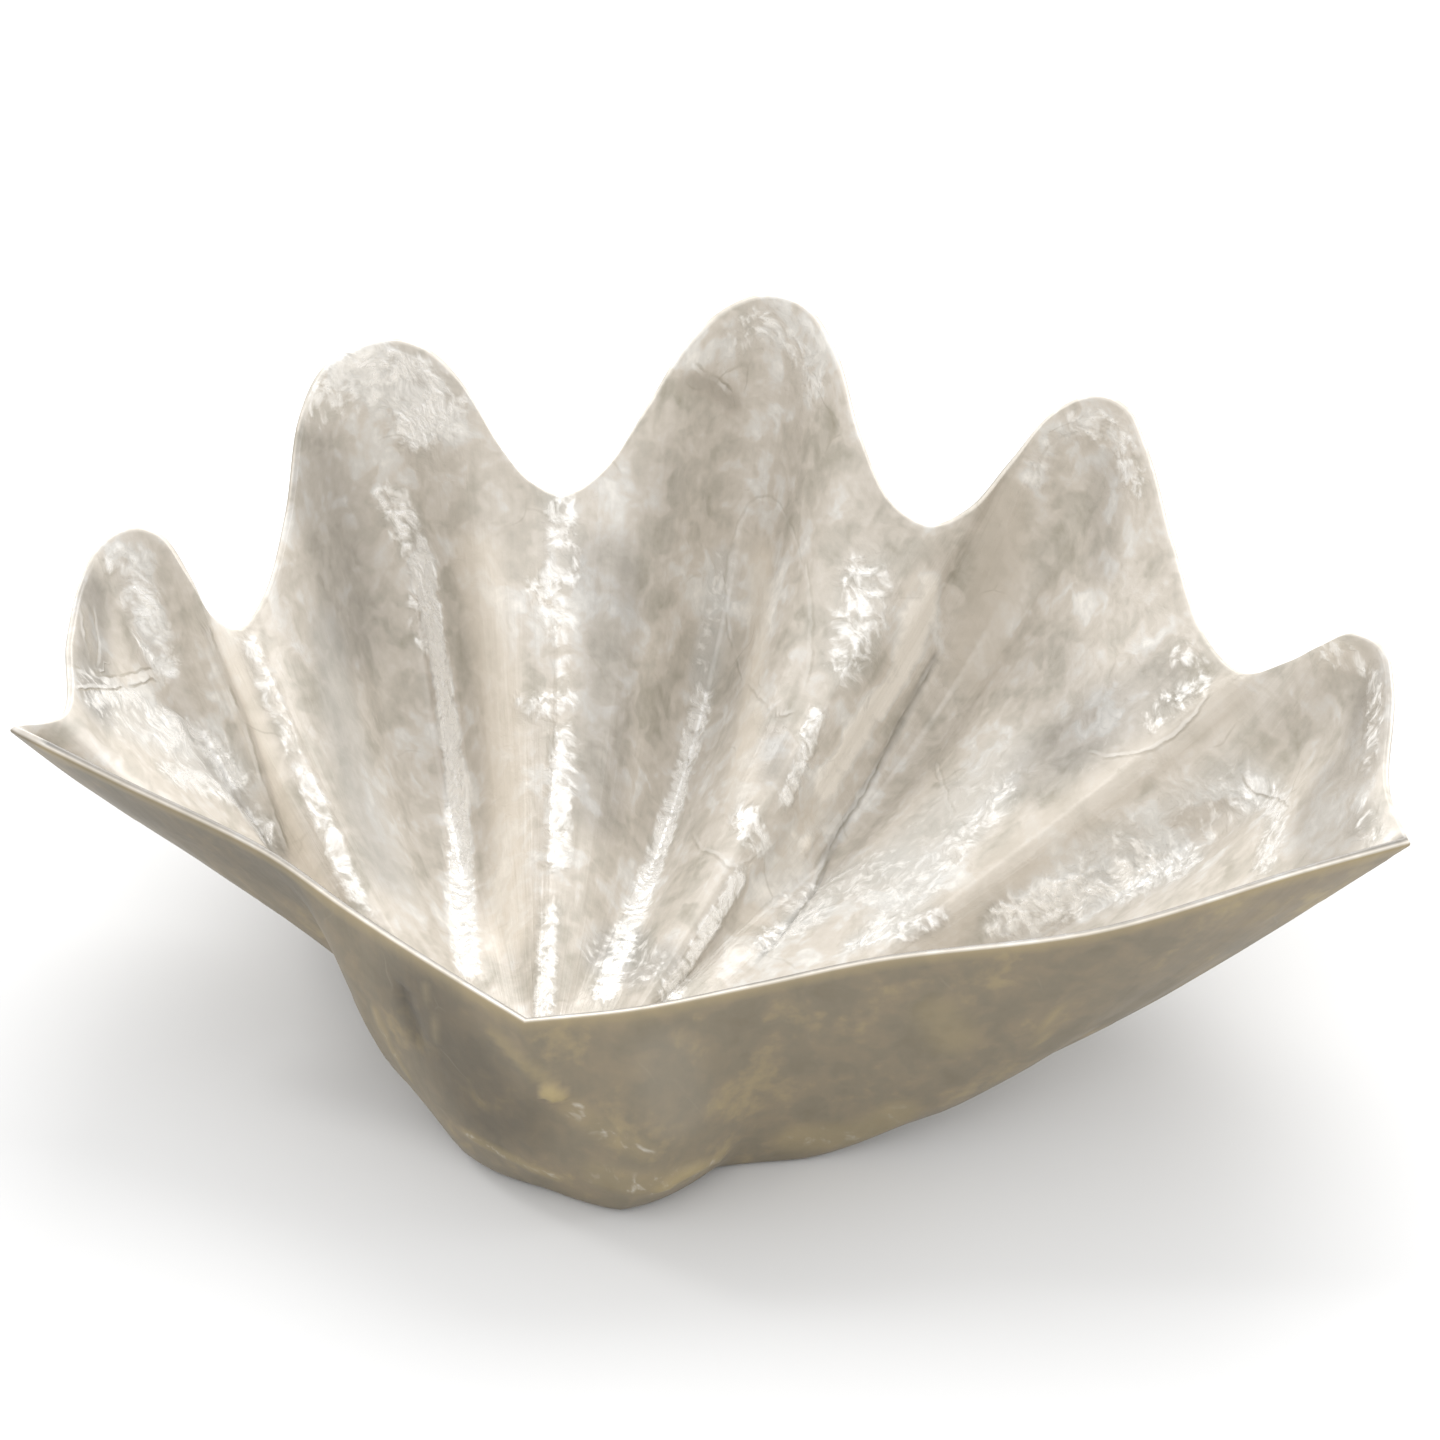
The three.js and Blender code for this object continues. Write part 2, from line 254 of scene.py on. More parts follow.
@dataclass(frozen=True)
class ShellForm:
    """The rule that the wall of the dish follows, in millimetres, as in the CAD source."""

    wall: float = 4.0
    base: float = 2.0
    settle: float = 6.4
    settle_blend: float = 3.0
    pole: tuple[float, float] = (-50.0, 24.0)
    pole_blend: float = 0.24
    upright_blend: float = 0.3
    crease: float = 0.5
    wall_smoothing: int = 3
    centre: tuple[float, float] = (1.4, 178.5)

    def rim(self, density: int) -> np.ndarray:
        """Trace the rim through its named points, as a centripetal Catmull-Rom curve.

        Args:
            density: columns made for each column of the CAD solid.

        Returns:
            One point for each column.
        """
        points = np.array([(p.x, p.y, p.height) for p in RIM], float)
        traced = []
        for index, row in enumerate(RIM):
            after_index = (index + 1) % len(RIM)
            p1, p2 = points[index], points[after_index]
            before = 2 * p1 - p2 if row.name in CORNERS else points[index - 1]
            after = 2 * p2 - p1 if RIM[after_index].name in CORNERS else points[(index + 2) % len(RIM)]
            knots = np.cumsum([0.0] + [math.sqrt(np.linalg.norm(b - a))
                                       for a, b in ((before, p1), (p1, p2), (p2, after))])
            for step in range(row.columns * density):
                k = knots[1] + (knots[2] - knots[1]) * step / (row.columns * density)
                level = [before, p1, p2, after]
                for spans in (((0, 1), (1, 2), (2, 3)), ((0, 2), (1, 3)), ((1, 2),)):
                    level = [((knots[b] - k) * level[m] + (k - knots[a]) * level[m + 1])
                             / (knots[b] - knots[a]) for m, (a, b) in enumerate(spans)]
                traced.append(level[0])
        return np.array(traced)

    def ribs(self, density: int) -> np.ndarray:
        """Blend the named ribs around the dish.

        Args:
            density: columns made for each column of the CAD solid.

        Returns:
            Floor, wall, turn, rise and lift for each column.
        """
        starts = np.cumsum([0] + [p.columns * density for p in RIM])
        count = int(starts[-1])
        keyed = [i for i, p in enumerate(RIM) if p.name in RIBS]
        blended = np.zeros((count, 5))
        for order, index in enumerate(keyed):
            following = keyed[(order + 1) % len(keyed)]
            start = starts[index]
            end = starts[following] + (0 if following > index else count)
            here, there = (np.array([r.floor, r.wall, r.turn, r.rise, r.lift])
                           for r in (RIBS[RIM[index].name], RIBS[RIM[following].name]))
            for place in range(start, end):
                way = (place - start) / (end - start)
                share = self.crease * way + (1 - self.crease) * smooth(way)
                blended[place % count] = here + (there - here) * share
        return blended

    def middle(self, rim: np.ndarray, ribs: np.ndarray, shares: np.ndarray) -> np.ndarray:
        """Find points on the middle of the wall.

        Args:
            rim: the rim's points, one for each column.
            ribs: the rib values, one row for each column.
            shares: the share of the way from the pole to the rim, for each column and ring.

        Returns:
            A point for each column and ring.
        """
        floor, wall, turn, rise, lift = ribs.T
        away = rim[:, :2] - np.array(self.pole)
        cos, sin = np.cos(np.radians(turn)), np.sin(np.radians(turn))
        aim = np.stack([cos * away[:, 0] - sin * away[:, 1], sin * away[:, 0] + cos * away[:, 1]], -1)
        start = np.broadcast_to((*self.pole, self.base), rim.shape)
        first = np.column_stack([self.pole + aim * floor[:, None], self.base + lift])
        second = np.column_stack([self.pole + aim * wall[:, None],
                                  self.base + (rim[:, 2] - self.base) * rise])
        t = shares[..., None]
        points = ((1 - t) ** 3 * start[:, None] + 3 * (1 - t) ** 2 * t * first[:, None]
                  + 3 * (1 - t) * t ** 2 * second[:, None] + t ** 3 * rim[:, None])
        height = (points[..., 2] - self.base) * smooth(shares / self.pole_blend)
        above = height - self.settle * (1 - shares ** 3)
        soft = (above + self.settle_blend) ** 2 / (4 * self.settle_blend)
        points[..., 2] = self.base + np.where(
            above < -self.settle_blend, 0.0, np.where(above < self.settle_blend, soft, above))
        return points

    def directions(self, middle: np.ndarray, shares: np.ndarray, density: int) -> np.ndarray:
        """Find the directions across the wall, pointing into the dish.

        Args:
            middle: points on the middle of the wall.
            shares: the share of the way to the rim, for each column and ring.
            density: columns made for each column of the CAD solid.

        Returns:
            A unit vector for each column and ring.
        """
        around = np.roll(middle, -1, 0) - np.roll(middle, 1, 0)
        normals = unit(np.cross(np.gradient(middle, axis=1), around))
        reach = (self.wall_smoothing + 1) * density
        total = np.zeros_like(normals)
        for offset in range(1 - reach, reach):
            total += math.cos(offset / reach * math.pi / 2) ** 2 * np.roll(normals, -offset, 0)
        share = smooth(shares / self.upright_blend)[..., None]
        return unit(unit(total) * share + np.array([0, 0, 1.0]) * (1 - share))


@dataclass(frozen=True)
class NacreRelief:
    """The low relief of the nacre flakes, in millimetres, made by geometry nodes."""

    flake_size: float = 46.0
    flake_step: float = 0.35
    swell_size: float = 34.0
    swell_height: float = 0.9
    crinkle_size: float = 12.0
    crinkle_height: float = 1.3
    seed: int = 7

    def tree(self, material: bpy.types.Material) -> bpy.types.NodeTree:
        """Build the tree that raises the relief.

        Args:
            material: the finish that the tree puts on the piece.

        Returns:
            The geometry node tree, with its sizes as named inputs.
        """
        tree = bpy.data.node_groups.new("nacre_relief", "GeometryNodeTree")
        tree.interface.new_socket(name="Geometry", in_out="INPUT", socket_type="NodeSocketGeometry")
        for name in self.inputs():
            tree.interface.new_socket(name=name, in_out="INPUT", socket_type="NodeSocketFloat")
        tree.interface.new_socket(name="Geometry", in_out="OUTPUT", socket_type="NodeSocketGeometry")
        node = partial(add_node, tree)
        given = node("NodeGroupInput").outputs
        place = node("GeometryNodeInputPosition")
        moved = node(VECTOR, (place, given["Seed"]), operation="ADD")
        flakes, swells, crinkles = (node(MATH, (1.0, given[size]), operation="DIVIDE")
                                    for size in ("Flake Size", "Swell Size", "Crinkle Size"))
        crinkle, relief, raised = (
            node("GeometryNodeInputNamedAttribute", {"Name": name}, data_type="FLOAT")
            for name in ("crinkle", "relief", "raised"))

        # Flakes: cells with wavy edges, each at its own level
        waver = node(NOISE, {"Vector": moved, "Scale": flakes, "Detail": 2.0})
        shift = node(VECTOR, (waver.outputs["Color"], (0.5, 0.5, 0.5)), operation="SUBTRACT")
        reach = node(VECTOR, {0: shift, "Scale": given["Flake Size"]}, operation="SCALE")
        wavy = node(VECTOR, (moved, reach), operation="ADD")
        cells = node("ShaderNodeTexVoronoi", {"Vector": wavy, "Scale": flakes}, feature="F1")
        level = node("FunctionNodeSeparateColor", {"Color": cells.outputs["Color"]})
        centred = node(MATH, (level, 0.5), operation="SUBTRACT")
        height = node(MATH, (centred, given["Flake Step"]), operation="MULTIPLY")

        # Swells: the soft unevenness of a wall covered by hand
        swell = node(NOISE, {"Vector": moved, "Scale": swells, "Detail": 1.0})
        centred = node(MATH, (swell, 0.5), operation="SUBTRACT")
        height = node(MATH, (centred, given["Swell Height"], height), operation="MULTIPLY_ADD")

        # Crinkles: puckered patches where the flakes are pressed over a fold
        pucker = node(NOISE, {"Vector": moved, "Scale": crinkles, "Detail": 2.0},
                      noise_type="RIDGED_MULTIFRACTAL", normalize=True)
        centred = node(MATH, (pucker, 0.5), operation="SUBTRACT")
        puckered = node(MATH, (centred, crinkle), operation="MULTIPLY")
        height = node(MATH, (puckered, given["Crinkle Height"], height), operation="MULTIPLY_ADD")

        # Marks: ridges and grooves that the photograph shows along the folds
        height = node(MATH, (height, relief, raised), operation="MULTIPLY_ADD")
        normal = node("GeometryNodeInputNormal")
        offset = node(VECTOR, {0: normal, "Scale": height}, operation="SCALE")
        lifted = node("GeometryNodeSetPosition", {"Geometry": given["Geometry"], "Offset": offset})
        real = node("GeometryNodeRealizeInstances", {"Geometry": lifted})
        dressed = node("GeometryNodeSetMaterial", {"Geometry": real, "Material": material})
        node("NodeGroupOutput", {"Geometry": dressed})
        return tree

    def inputs(self) -> dict[str, float]:
        """List the tree's named inputs.

        Returns:
            Each input's value by name, with sizes in metres.
        """
        return {
            "Flake Size": self.flake_size * MM,
            "Flake Step": self.flake_step * MM,
            "Swell Size": self.swell_size * MM,
            "Swell Height": self.swell_height * MM,
            "Crinkle Size": self.crinkle_size * MM,
            "Crinkle Height": self.crinkle_height * MM,
            "Seed": float(self.seed),
        }

    def apply(self, piece: bpy.types.Object, material: bpy.types.Material) -> None:
        """Raise the relief on a piece and leave it a plain mesh.

        Args:
            piece: the object that gets the relief.
            material: the finish that the tree puts on the piece.
        """
        modifier = piece.modifiers.new("relief", "NODES")
        modifier.node_group = self.tree(material)
        values = self.inputs()
        for item in modifier.node_group.interface.items_tree:
            if item.in_out == "INPUT" and item.name in values:
                modifier[item.identifier] = values[item.name]
        graph = bpy.context.evaluated_depsgraph_get()
        plain = bpy.data.meshes.new_from_object(
            piece.evaluated_get(graph), preserve_all_data_layers=True, depsgraph=graph)
        piece.modifiers.clear()
        piece.data = plain
        piece.data.shade_smooth()


Place = tuple[str, float, float]
TRACE_STEPS = 12  # points of a traced curve from one place to the next


def trace(line: tuple[Place, ...], face: np.ndarray, rings: int, density: int) -> np.ndarray:
    """Lay a soft curve through places on a face of the wall.

    Args:
        line: each place as a rim point, the share of the way on to the next rim point,
            and the share of the way from the pole to the rim.
        face: points of the face for each column and ring, in millimetres.
        rings: rings from the pole to the rim.
        density: columns made for each column of the CAD solid.

    Returns:
        Points of the face along the curve.
    """
    names = [p.name for p in RIM]
    starts = np.cumsum([0] + [p.columns * density for p in RIM])
    places = []
    for point, onward, share in line:
        index = names.index(point)
        column = starts[index] + onward * (starts[index + 1] - starts[index])
        if places:
            column += round((places[-1][0] - column) / len(face)) * len(face)
        places.append((column, share * rings - 1))
    knots = np.array([2 * np.array(places[0]) - places[1], *places, 2 * np.array(places[-1]) - places[-2]])
    steps = np.linspace(0, len(places) - 1, TRACE_STEPS * (len(places) - 1) + 1)
    spans = np.minimum(steps.astype(int), len(places) - 2)
    t = (steps - spans)[:, None]
    a, b, c, d = (knots[spans + k] for k in range(4))
    bend = 2 * a - 5 * b + 4 * c - d
    twist = 3 * b - a - 3 * c + d
    curve = b + t * (c - a) / 2 + t ** 2 * bend / 2 + t ** 3 * twist / 2
    column, level = np.floor(curve).astype(int).T
    level = level.clip(0, rings - 2)
    across, upward = curve[:, :1] - column[:, None], (curve[:, 1:] - level[:, None]).clip(0, 1)
    here, after = column % len(face), (column + 1) % len(face)
    low = face[here, level] * (1 - across) + face[after, level] * across
    high = face[here, level + 1] * (1 - across) + face[after, level + 1] * across
    return low * (1 - upward) + high * upward


def within(points: np.ndarray, route: np.ndarray, reach: float) -> np.ndarray:
    """Say which points lie in the box of a route, widened by the reach."""
    return np.all((points > route.min(0) - reach) & (points < route.max(0) + reach), axis=1)


@dataclass(frozen=True)
class FlakeEdge:
    """The edge of a flake that laps over its neighbour, along a line on the inner face.

    The line is given as for trace. The upper flake lies to the left of the line for someone
    who looks at the face and goes along it. Reach, and the length over which the line's ends
    fade, are in millimetres. Fall is how steeply the edge ends beside the line.
    """

    name: str
    strength: float
    line: tuple[Place, ...]
    reach: float = 8.0
    fall: float = 1.6
    end_fade: float = 5.0

    def closeness(self, points: np.ndarray, normals: np.ndarray,
                  route: np.ndarray) -> tuple[np.ndarray, np.ndarray]:
        """Find where points lie beside the line.

        Args:
            points: the points, one for each row.
            normals: the face's directions at the points.
            route: the points of the line.

        Returns:
            For each point the distance to the line, above 0 on the upper flake, and
            a share that falls softly from 1 to 0 towards the line's reach and its ends.
        """
        distance = np.full(len(points), self.reach)
        share = np.zeros(len(points))
        near = within(points, route, self.reach)
        place, normal = points[near], normals[near]
        best, signed, travelled = np.full(len(place), np.inf), np.zeros(len(place)), np.zeros(len(place))
        length = 0.0
        for start, end in zip(route[:-1], route[1:]):
            along = end - start
            span = float(np.linalg.norm(along)) + 1e-9
            way = np.clip(((place - start) @ along) / span ** 2, 0, 1)
            offset = place - (start + way[:, None] * along)
            gap = np.linalg.norm(offset, axis=1)
            left = np.sign((np.cross(normal, along) * offset).sum(1))
            closer = gap < best
            best = np.where(closer, gap, best)
            signed = np.where(closer, gap * left, signed)
            travelled = np.where(closer, length + way * span, travelled)
            length += span
        ends = smooth(np.minimum(travelled, length - travelled) / self.end_fade)
        distance[near] = np.clip(signed, -self.reach, self.reach)
        share[near] = smooth(self.fall * (1 - best / self.reach)) * ends * self.strength
        return distance, share


@dataclass(frozen=True)
class FoldMark:
    """One feature that the nacre shows along a line on a face of the wall.

    The line is given as for trace. Reach and height are in millimetres.
    Crinkle is how far the nacre is puckered. Tone is warm above zero and silvery below.
    Shade is pale above zero and dark below. On most marks it is painted light and painted
    shade: it lifts lit slopes, glinting ridges and bumps, and dims shaded slopes, grooves
    and the spots that the lamps light too strongly. On the golden flakes it is their own
    deep tint. Fall is how steeply the mark ends.
    """

    name: str
    reach: float
    height: float
    crinkle: float
    tone: float
    shade: float
    line: tuple[Place, ...]
    fall: float = 1.4

    def closeness(self, points: np.ndarray, route: np.ndarray) -> np.ndarray:
        """Find how close points are to the line.

        Args:
            points: the points, one for each row.
            route: the points of the line.

        Returns:
            1 on the line for each point, falling softly to 0 at the mark's reach.
        """
        close = np.zeros(len(points))
        near = within(points, route, self.reach)
        gap = np.full(near.sum(), np.inf)
        for start, end in zip(route[:-1], route[1:]):
            along = end - start
            share = np.clip(((points[near] - start) @ along) / (along @ along + 1e-9), 0, 1)
            gap = np.minimum(gap, np.linalg.norm(points[near] - (start + share[:, None] * along), axis=1))
        close[near] = smooth(self.fall * (1 - gap / self.reach))
        return close


# The rim from the left tip past the beak to the right tip
FRONT_RIM = (
    ("left tip", 0.3, 1), ("left front 5", 0, 1), ("left front 4", 0, 1), ("left front 3", 0, 1),
    ("left front 2", 0, 1), ("beak", 0, 1), ("right front 2", 0, 1), ("right front 3", 0, 1),
    ("right front 4", 0, 1), ("right front 5", 0, 1), ("right tip", 0, 1),
)

# Features of the inner face, as the photograph shows them:
# name, reach, height, crinkle, tone, shade and line; the shade column is mostly painted light and painted
# shade
INNER_MARKS = tuple(FoldMark(*row) for row in (
    # Painted light: the trough ridge, glinting patches, top and lit panel of lobe 2 are made paler where the
    # lamps leave them dim.
    ("lobe 2 trough ridge", 9, 0.9, 1.6, 0, 0.45, (
        ("lobe 2 shoulder", 0.6, 0.8), ("lobe 2 shoulder", 0.5, 0.7), ("lobe 2 shoulder", 0.5, 0.55),
        ("lobe 2 shoulder", 0.9, 0.41), ("lobe 2 left shoulder", 0, 0.24))),
    ("lobe 2 upper patch", 13, 0.3, 1.3, 0, 0.1, (
        ("lobe 2 shoulder", 0.62, 0.77), ("lobe 2 shoulder", 0.62, 0.71))),
    ("lobe 2 neck", 12, 0.3, 1.2, -0.3, 0, (("lobe 2 top", 0.2, 0.87), ("lobe 2 shoulder", 0.6, 0.8))),
    ("lobe 2 top", 26, 0, 0.9, -0.3, 0.2, (
        ("lobe 2 left shoulder", 0.2, 0.99), ("lobe 2 shoulder", 0.6, 0.97), ("lobe 2 side", 0.8, 0.96))),
    ("lobe 2 top glints", 16, 0.3, 1.5, -0.3, 0.1, (
        ("lobe 2 shoulder", 0.6, 0.98), ("lobe 2 side", 0.9, 0.97), ("lobe 2 shoulder", 0.5, 0.93))),
    ("lobe 2 panel", 20, 0.3, 0, 0.7, 0.08, (
        ("lobe 2 side", 0, 0.82), ("lobe 2 flank", 0.5, 0.68), ("lobe 2 flank", 0.5, 0.48),
        ("lobe 2 side", 0.1, 0.3))),
    # Painted shade on the left side of lobe 2, a slope that faces away from the light.
    ("lobe 2 left foot", 24, 0, 0, -0.6, -0.05, (
        ("lobe 2 left side", 0.9, 0.82), ("lobe 2 left flank", 0.4, 0.64),
        ("lobe 2 left flank", 0.6, 0.5))),
    ("lobe 2 left side", 44, 0, 0, 0, -0.32, (
        ("lobe 2 left side", 0.25, 0.97), ("lobe 2 left shoulder", 0.95, 0.88),
        ("lobe 2 left shoulder", 0.95, 0.78))),
    ("crest 23 upper ridge", 13, 0.8, 0.8, -0.4, 0, (("notch 23", 0.1, 0.99), ("notch 23", 0, 0.88))),
    ("crest 23 left", 13, 0, 1.1, 0.2, 0, (("notch 23", 0.6, 0.86), ("notch 23", 0.1, 0.81))),
    ("crest 23 ridge", 6, 0.8, 0.6, 0.1, 0, (("notch 23", 0, 0.82), ("lobe 3 left foot", 0.8, 0.6))),
    ("crest 23 cross", 9, 0.4, 1, -0.2, 0, (("lobe 2 foot", 0.3, 0.67), ("lobe 3 left foot", 0.8, 0.69))),
    ("crest 23 middle ridge", 10, 0.9, 1.2, -0.3, 0, (
        ("lobe 3 left foot", 0.8, 0.63), ("lobe 3 left foot", 0.9, 0.45))),
    ("crest 23 foot", 8, 0.8, 1.3, -0.3, 0, (("notch 23", 0.2, 0.37), ("notch 23", 0.3, 0.22))),
    # Painted shade on the right side of crest 23, which faces away from the light.
    ("crest 23 right side", 24, 0, 0, 0, -0.28, (
        ("lobe 3 left flank", 0.9, 0.87), ("lobe 3 left flank", 0.5, 0.74),
        ("lobe 3 left flank", 0.3, 0.5))),
    ("lobe 3 left trough ridge", 9, 0.9, 1.5, -0.4, 0, (
        ("lobe 3 top", 0.2, 0.59), ("lobe 3 top", 0, 0.45), ("lobe 3 shoulder", 0.9, 0.31),
        ("lobe 3 shoulder", 0.6, 0.17))),
    ("lobe 3 left silver", 12, 0, 0.5, -0.8, 0, (("lobe 3 top", 0.4, 0.76), ("lobe 3 top", 0.4, 0.62))),
    ("lobe 3 right upper ridge", 7, 0.8, 1.3, -0.3, 0, (("notch 34", 0, 0.69), ("lobe 4 end", 0.4, 0.55))),
    ("lobe 3 right trough ridge", 8, 0.9, 1.5, -0.3, 0, (
        ("lobe 4 end", 0.3, 0.43), ("lobe 4 end", 0.1, 0.35), ("lobe 4 side", 0.8, 0.24))),
    ("lobe 3 cluster", 12, 0.4, 1.2, -0.2, 0, (("notch 34", 0.5, 0.53), ("lobe 4 end", 0.4, 0.49))),
    ("lobe 3 panel", 16, 0.2, 0, 0.6, 0, (
        ("lobe 3 side", 0.9, 0.76), ("lobe 3 flank", 0.8, 0.64), ("lobe 3 foot", 0, 0.54))),
    # Painted light on the middle and top of lobe 3, and painted shade on its foot where the lamps light it
    # strongly.
    ("lobe 3 middle", 28, 0, 0, 0.2, 0.12, (("lobe 3 shoulder", 0.1, 0.76), ("lobe 3 side", 0.2, 0.68))),
    ("lobe 3 hot foot", 16, 0, 0, 0, -0.14, (("lobe 3 foot", 0, 0.62), ("lobe 3 foot", 0, 0.54))),
    ("lobe 3 top", 18, 0, 0.7, -0.2, 0.12, (
        ("lobe 3 top", 0.5, 0.98), ("lobe 3 shoulder", 0.1, 0.98), ("lobe 3 side", 0.4, 0.96))),
    ("lobe 3 golden flake", 8, 0.2, 0.2, 1, -0.4, (
        ("lobe 3 left side", 0, 0.97), ("lobe 3 top", 0.7, 0.92))),
    # Painted shade on the left side of lobe 3.
    ("lobe 3 left side", 24, 0, 0, 0, -0.1, (
        ("lobe 3 left side", 0.5, 0.9), ("lobe 3 left side", 0.5, 0.76))),
    ("crest 34 patch", 19, 0.3, 0.95, -0.3, 0, (
        ("notch 34", 0.8, 0.9), ("notch 34", 0.4, 0.84), ("notch 34", 0, 0.78))),
    # Painted light on the rounded slab of crest 34, which faces up, and painted shade at its foot and in its
    # groove.
    ("crest 34 slab", 15, 0.8, 0, 0.45, 0.1, (
        ("lobe 4 end", 0.1, 0.88), ("lobe 4 side", 0.1, 0.73), ("lobe 4 side", 0.2, 0.6),
        ("lobe 4 back", 0.5, 0.45), ("lobe 4 shoulder", 0.5, 0.26))),
    ("crest 34 slab light", 15, 0, 0, 0, 0.4, (
        ("lobe 4 end", 0.1, 0.88), ("lobe 4 side", 0.1, 0.73), ("lobe 4 side", 0.2, 0.56))),
    ("crest 34 slab foot", 14, 0, 0, 0, -0.15, (("lobe 4 shoulder", 0, 0.27), ("lobe 4 back", 0.5, 0.29))),
    ("crest 34 groove", 3, -1.3, 0, -0.2, -0.25, (
        ("lobe 4 back", 0, 0.72), ("lobe 4 top", 0.7, 0.59), ("lobe 4 top", 0.1, 0.43),
        ("lobe 4 flank", 0, 0.28))),
    ("lobe 4 top", 13, 0, 0.9, 0, 0, (
        ("lobe 4 top", 0, 0.98), ("lobe 4 flank", 0.7, 0.98), ("lobe 4 front", 0.9, 0.98))),
    # A painted highlight on the brow of lobe 4, and painted shade below it.
    ("lobe 4 brow", 8, 0.8, 0.5, -0.2, 0.15, (
        ("lobe 4 top", 0.75, 0.93), ("lobe 4 top", 0.75, 0.97), ("lobe 4 top", 0, 0.98),
        ("lobe 4 shoulder", 0.25, 0.98))),
    ("lobe 4 brow shade", 18, 0, 0, 0, -0.18, (("lobe 4 flank", 0.7, 0.95), ("lobe 4 front", 0.7, 0.9))),
    ("lobe 4 golden", 18, 0, 0, 0.8, -0.2, (
        ("lobe 4 back", 0.5, 0.93), ("lobe 4 top", 0.5, 0.82), ("lobe 4 shoulder", 0.5, 0.7))),
    ("lobe 4 silver", 30, 0, 0.3, -0.6, 0, (("lobe 4 foot", 0.9, 0.66), ("lobe 4 front", 0, 0.52))),
    # Painted shade on the middle of lobe 4.
    ("lobe 4 middle", 36, 0, 0, 0, -0.15, (("lobe 4 front", 0.5, 0.76), ("lobe 4 foot", 0.3, 0.79))),
    ("lobe 4 middle crinkles", 16, 0.3, 0.8, -0.5, 0, (
        ("lobe 4 foot", 0.4, 0.65), ("lobe 4 foot", 0.2, 0.53), ("lobe 4 foot", 0, 0.45))),
    ("lobe 4 foot", 14, 0.5, 1.3, -0.8, 0, (("lobe 4 flank", 0.3, 0.3), ("lobe 4 front", 0.6, 0.36))),
    ("lobe 4 foot silver", 28, 0, 0.75, -0.7, 0, (
        ("lobe 4 flank", 0.3, 0.36), ("lobe 4 front", 0.6, 0.42), ("lobe 4 foot", 0.2, 0.5))),
    ("lobe 4 foot band", 10, 0.4, 1.1, -0.8, 0, (
        ("lobe 4 foot", 0, 0.41), ("notch 45", 0.1, 0.48), ("lobe 5 foot", 0.9, 0.5))),
    ("crest 45 glints", 12, 0.3, 0.8, 0, 0, (
        ("lobe 4 foot", 0, 0.97), ("notch 45", 0.5, 0.96), ("notch 45", 0.5, 0.88))),
    # Painted shade on the band of crest 45, which the lamps light strongly.
    ("crest 45 band", 15, 0.6, 0, 0.7, -0.2, (
        ("lobe 5 foot", 0.6, 0.96), ("lobe 5 foot", 0.8, 0.87), ("notch 45", 0.1, 0.75),
        ("lobe 5 foot", 0.9, 0.61), ("lobe 5 foot", 0.4, 0.47))),
    ("lobe 5 silver", 22, 0, 0.5, -0.7, 0, (
        ("lobe 5 top", 0.1, 0.8), ("lobe 5 top", 0.6, 0.73), ("lobe 5 back", 0.2, 0.63))),
    ("lobe 5 foot", 16, 0.4, 1.15, -0.6, 0, (
        ("lobe 5 back", 0.5, 0.52), ("lobe 5 back", 0, 0.58), ("lobe 5 top", 0.4, 0.63),
        ("lobe 5 shoulder", 0.1, 0.68))),
    ("lobe 5 golden", 15, 0, 0, 0.9, -0.15, (("lobe 5 shoulder", 0.75, 0.75), ("lobe 5 top", 0.3, 0.73))),
    ("lobe 5 strokes", 12, 0.3, 1.1, -0.4, 0, (
        ("lobe 5 shoulder", 0.7, 0.8), ("right side", 0.8, 0.82), ("right side", 0.3, 0.82))),
    ("lobe 5 side", 12, 0.3, 0.5, -0.3, 0, (("right side", 0, 0.97), ("right tip", 0.3, 0.97))),
    # Painted shade on the upper side of lobe 5.
    ("lobe 5 upper side", 30, 0, 0, 0, -0.12, (("lobe 5 top", 0.7, 0.92), ("lobe 5 front", 0.3, 0.92))),
    ("lobe 5 top", 10, 0, 0.8, 0.2, 0, (
        ("lobe 5 top", 0.4, 0.98), ("lobe 5 front", 0.6, 0.98), ("right side", 0.5, 0.98))),
    # Painted light on the top, the bubbles and the foot of lobe 1, and a little painted shade on its seam.
    ("lobe 1 top", 14, 0, 0.8, -0.2, 0.12, (
        ("lobe 1 top", 0.2, 0.97), ("lobe 1 top", 0.3, 0.91), ("lobe 1 top", 0.5, 0.85))),
    ("lobe 1 seam", 5, 1.1, 0.2, 0.4, -0.06, (
        ("lobe 1 front", 0.5, 0.99), ("lobe 1 front", 0, 0.93), ("lobe 1 left side", 0.1, 0.87),
        ("lobe 1 top", 0.75, 0.83))),
    ("lobe 1 strip", 4, 1, 0.2, 0.5, 0, (
        ("lobe 1 left side", 0.38, 0.99), ("lobe 1 left side", 0.9, 0.96))),
    ("lobe 1 bubbles", 6, 0.8, 1.2, -0.2, 0.05, (
        ("lobe 1 top", 0.25, 0.94), ("lobe 1 top", 0.25, 0.91), ("lobe 1 top", 0.25, 0.88))),
    ("lobe 1 foot", 26, 0, 0.7, -0.7, 0.05, (
        ("lobe 1 front", 0.3, 0.94), ("lobe 1 left side", 0.4, 0.81), ("lobe 1 left shoulder", 0, 0.68))),
    ("lobe 1 upper wave", 7, 1.4, 1.3, -0.3, 0, (
        ("lobe 1 front", 0.5, 0.96), ("lobe 1 left side", 0.75, 0.89), ("lobe 1 left side", 0.12, 0.82),
        ("lobe 1 left shoulder", 0.25, 0.77))),
    ("lobe 1 middle wave", 11, 1.6, 1.3, -0.3, 0, (
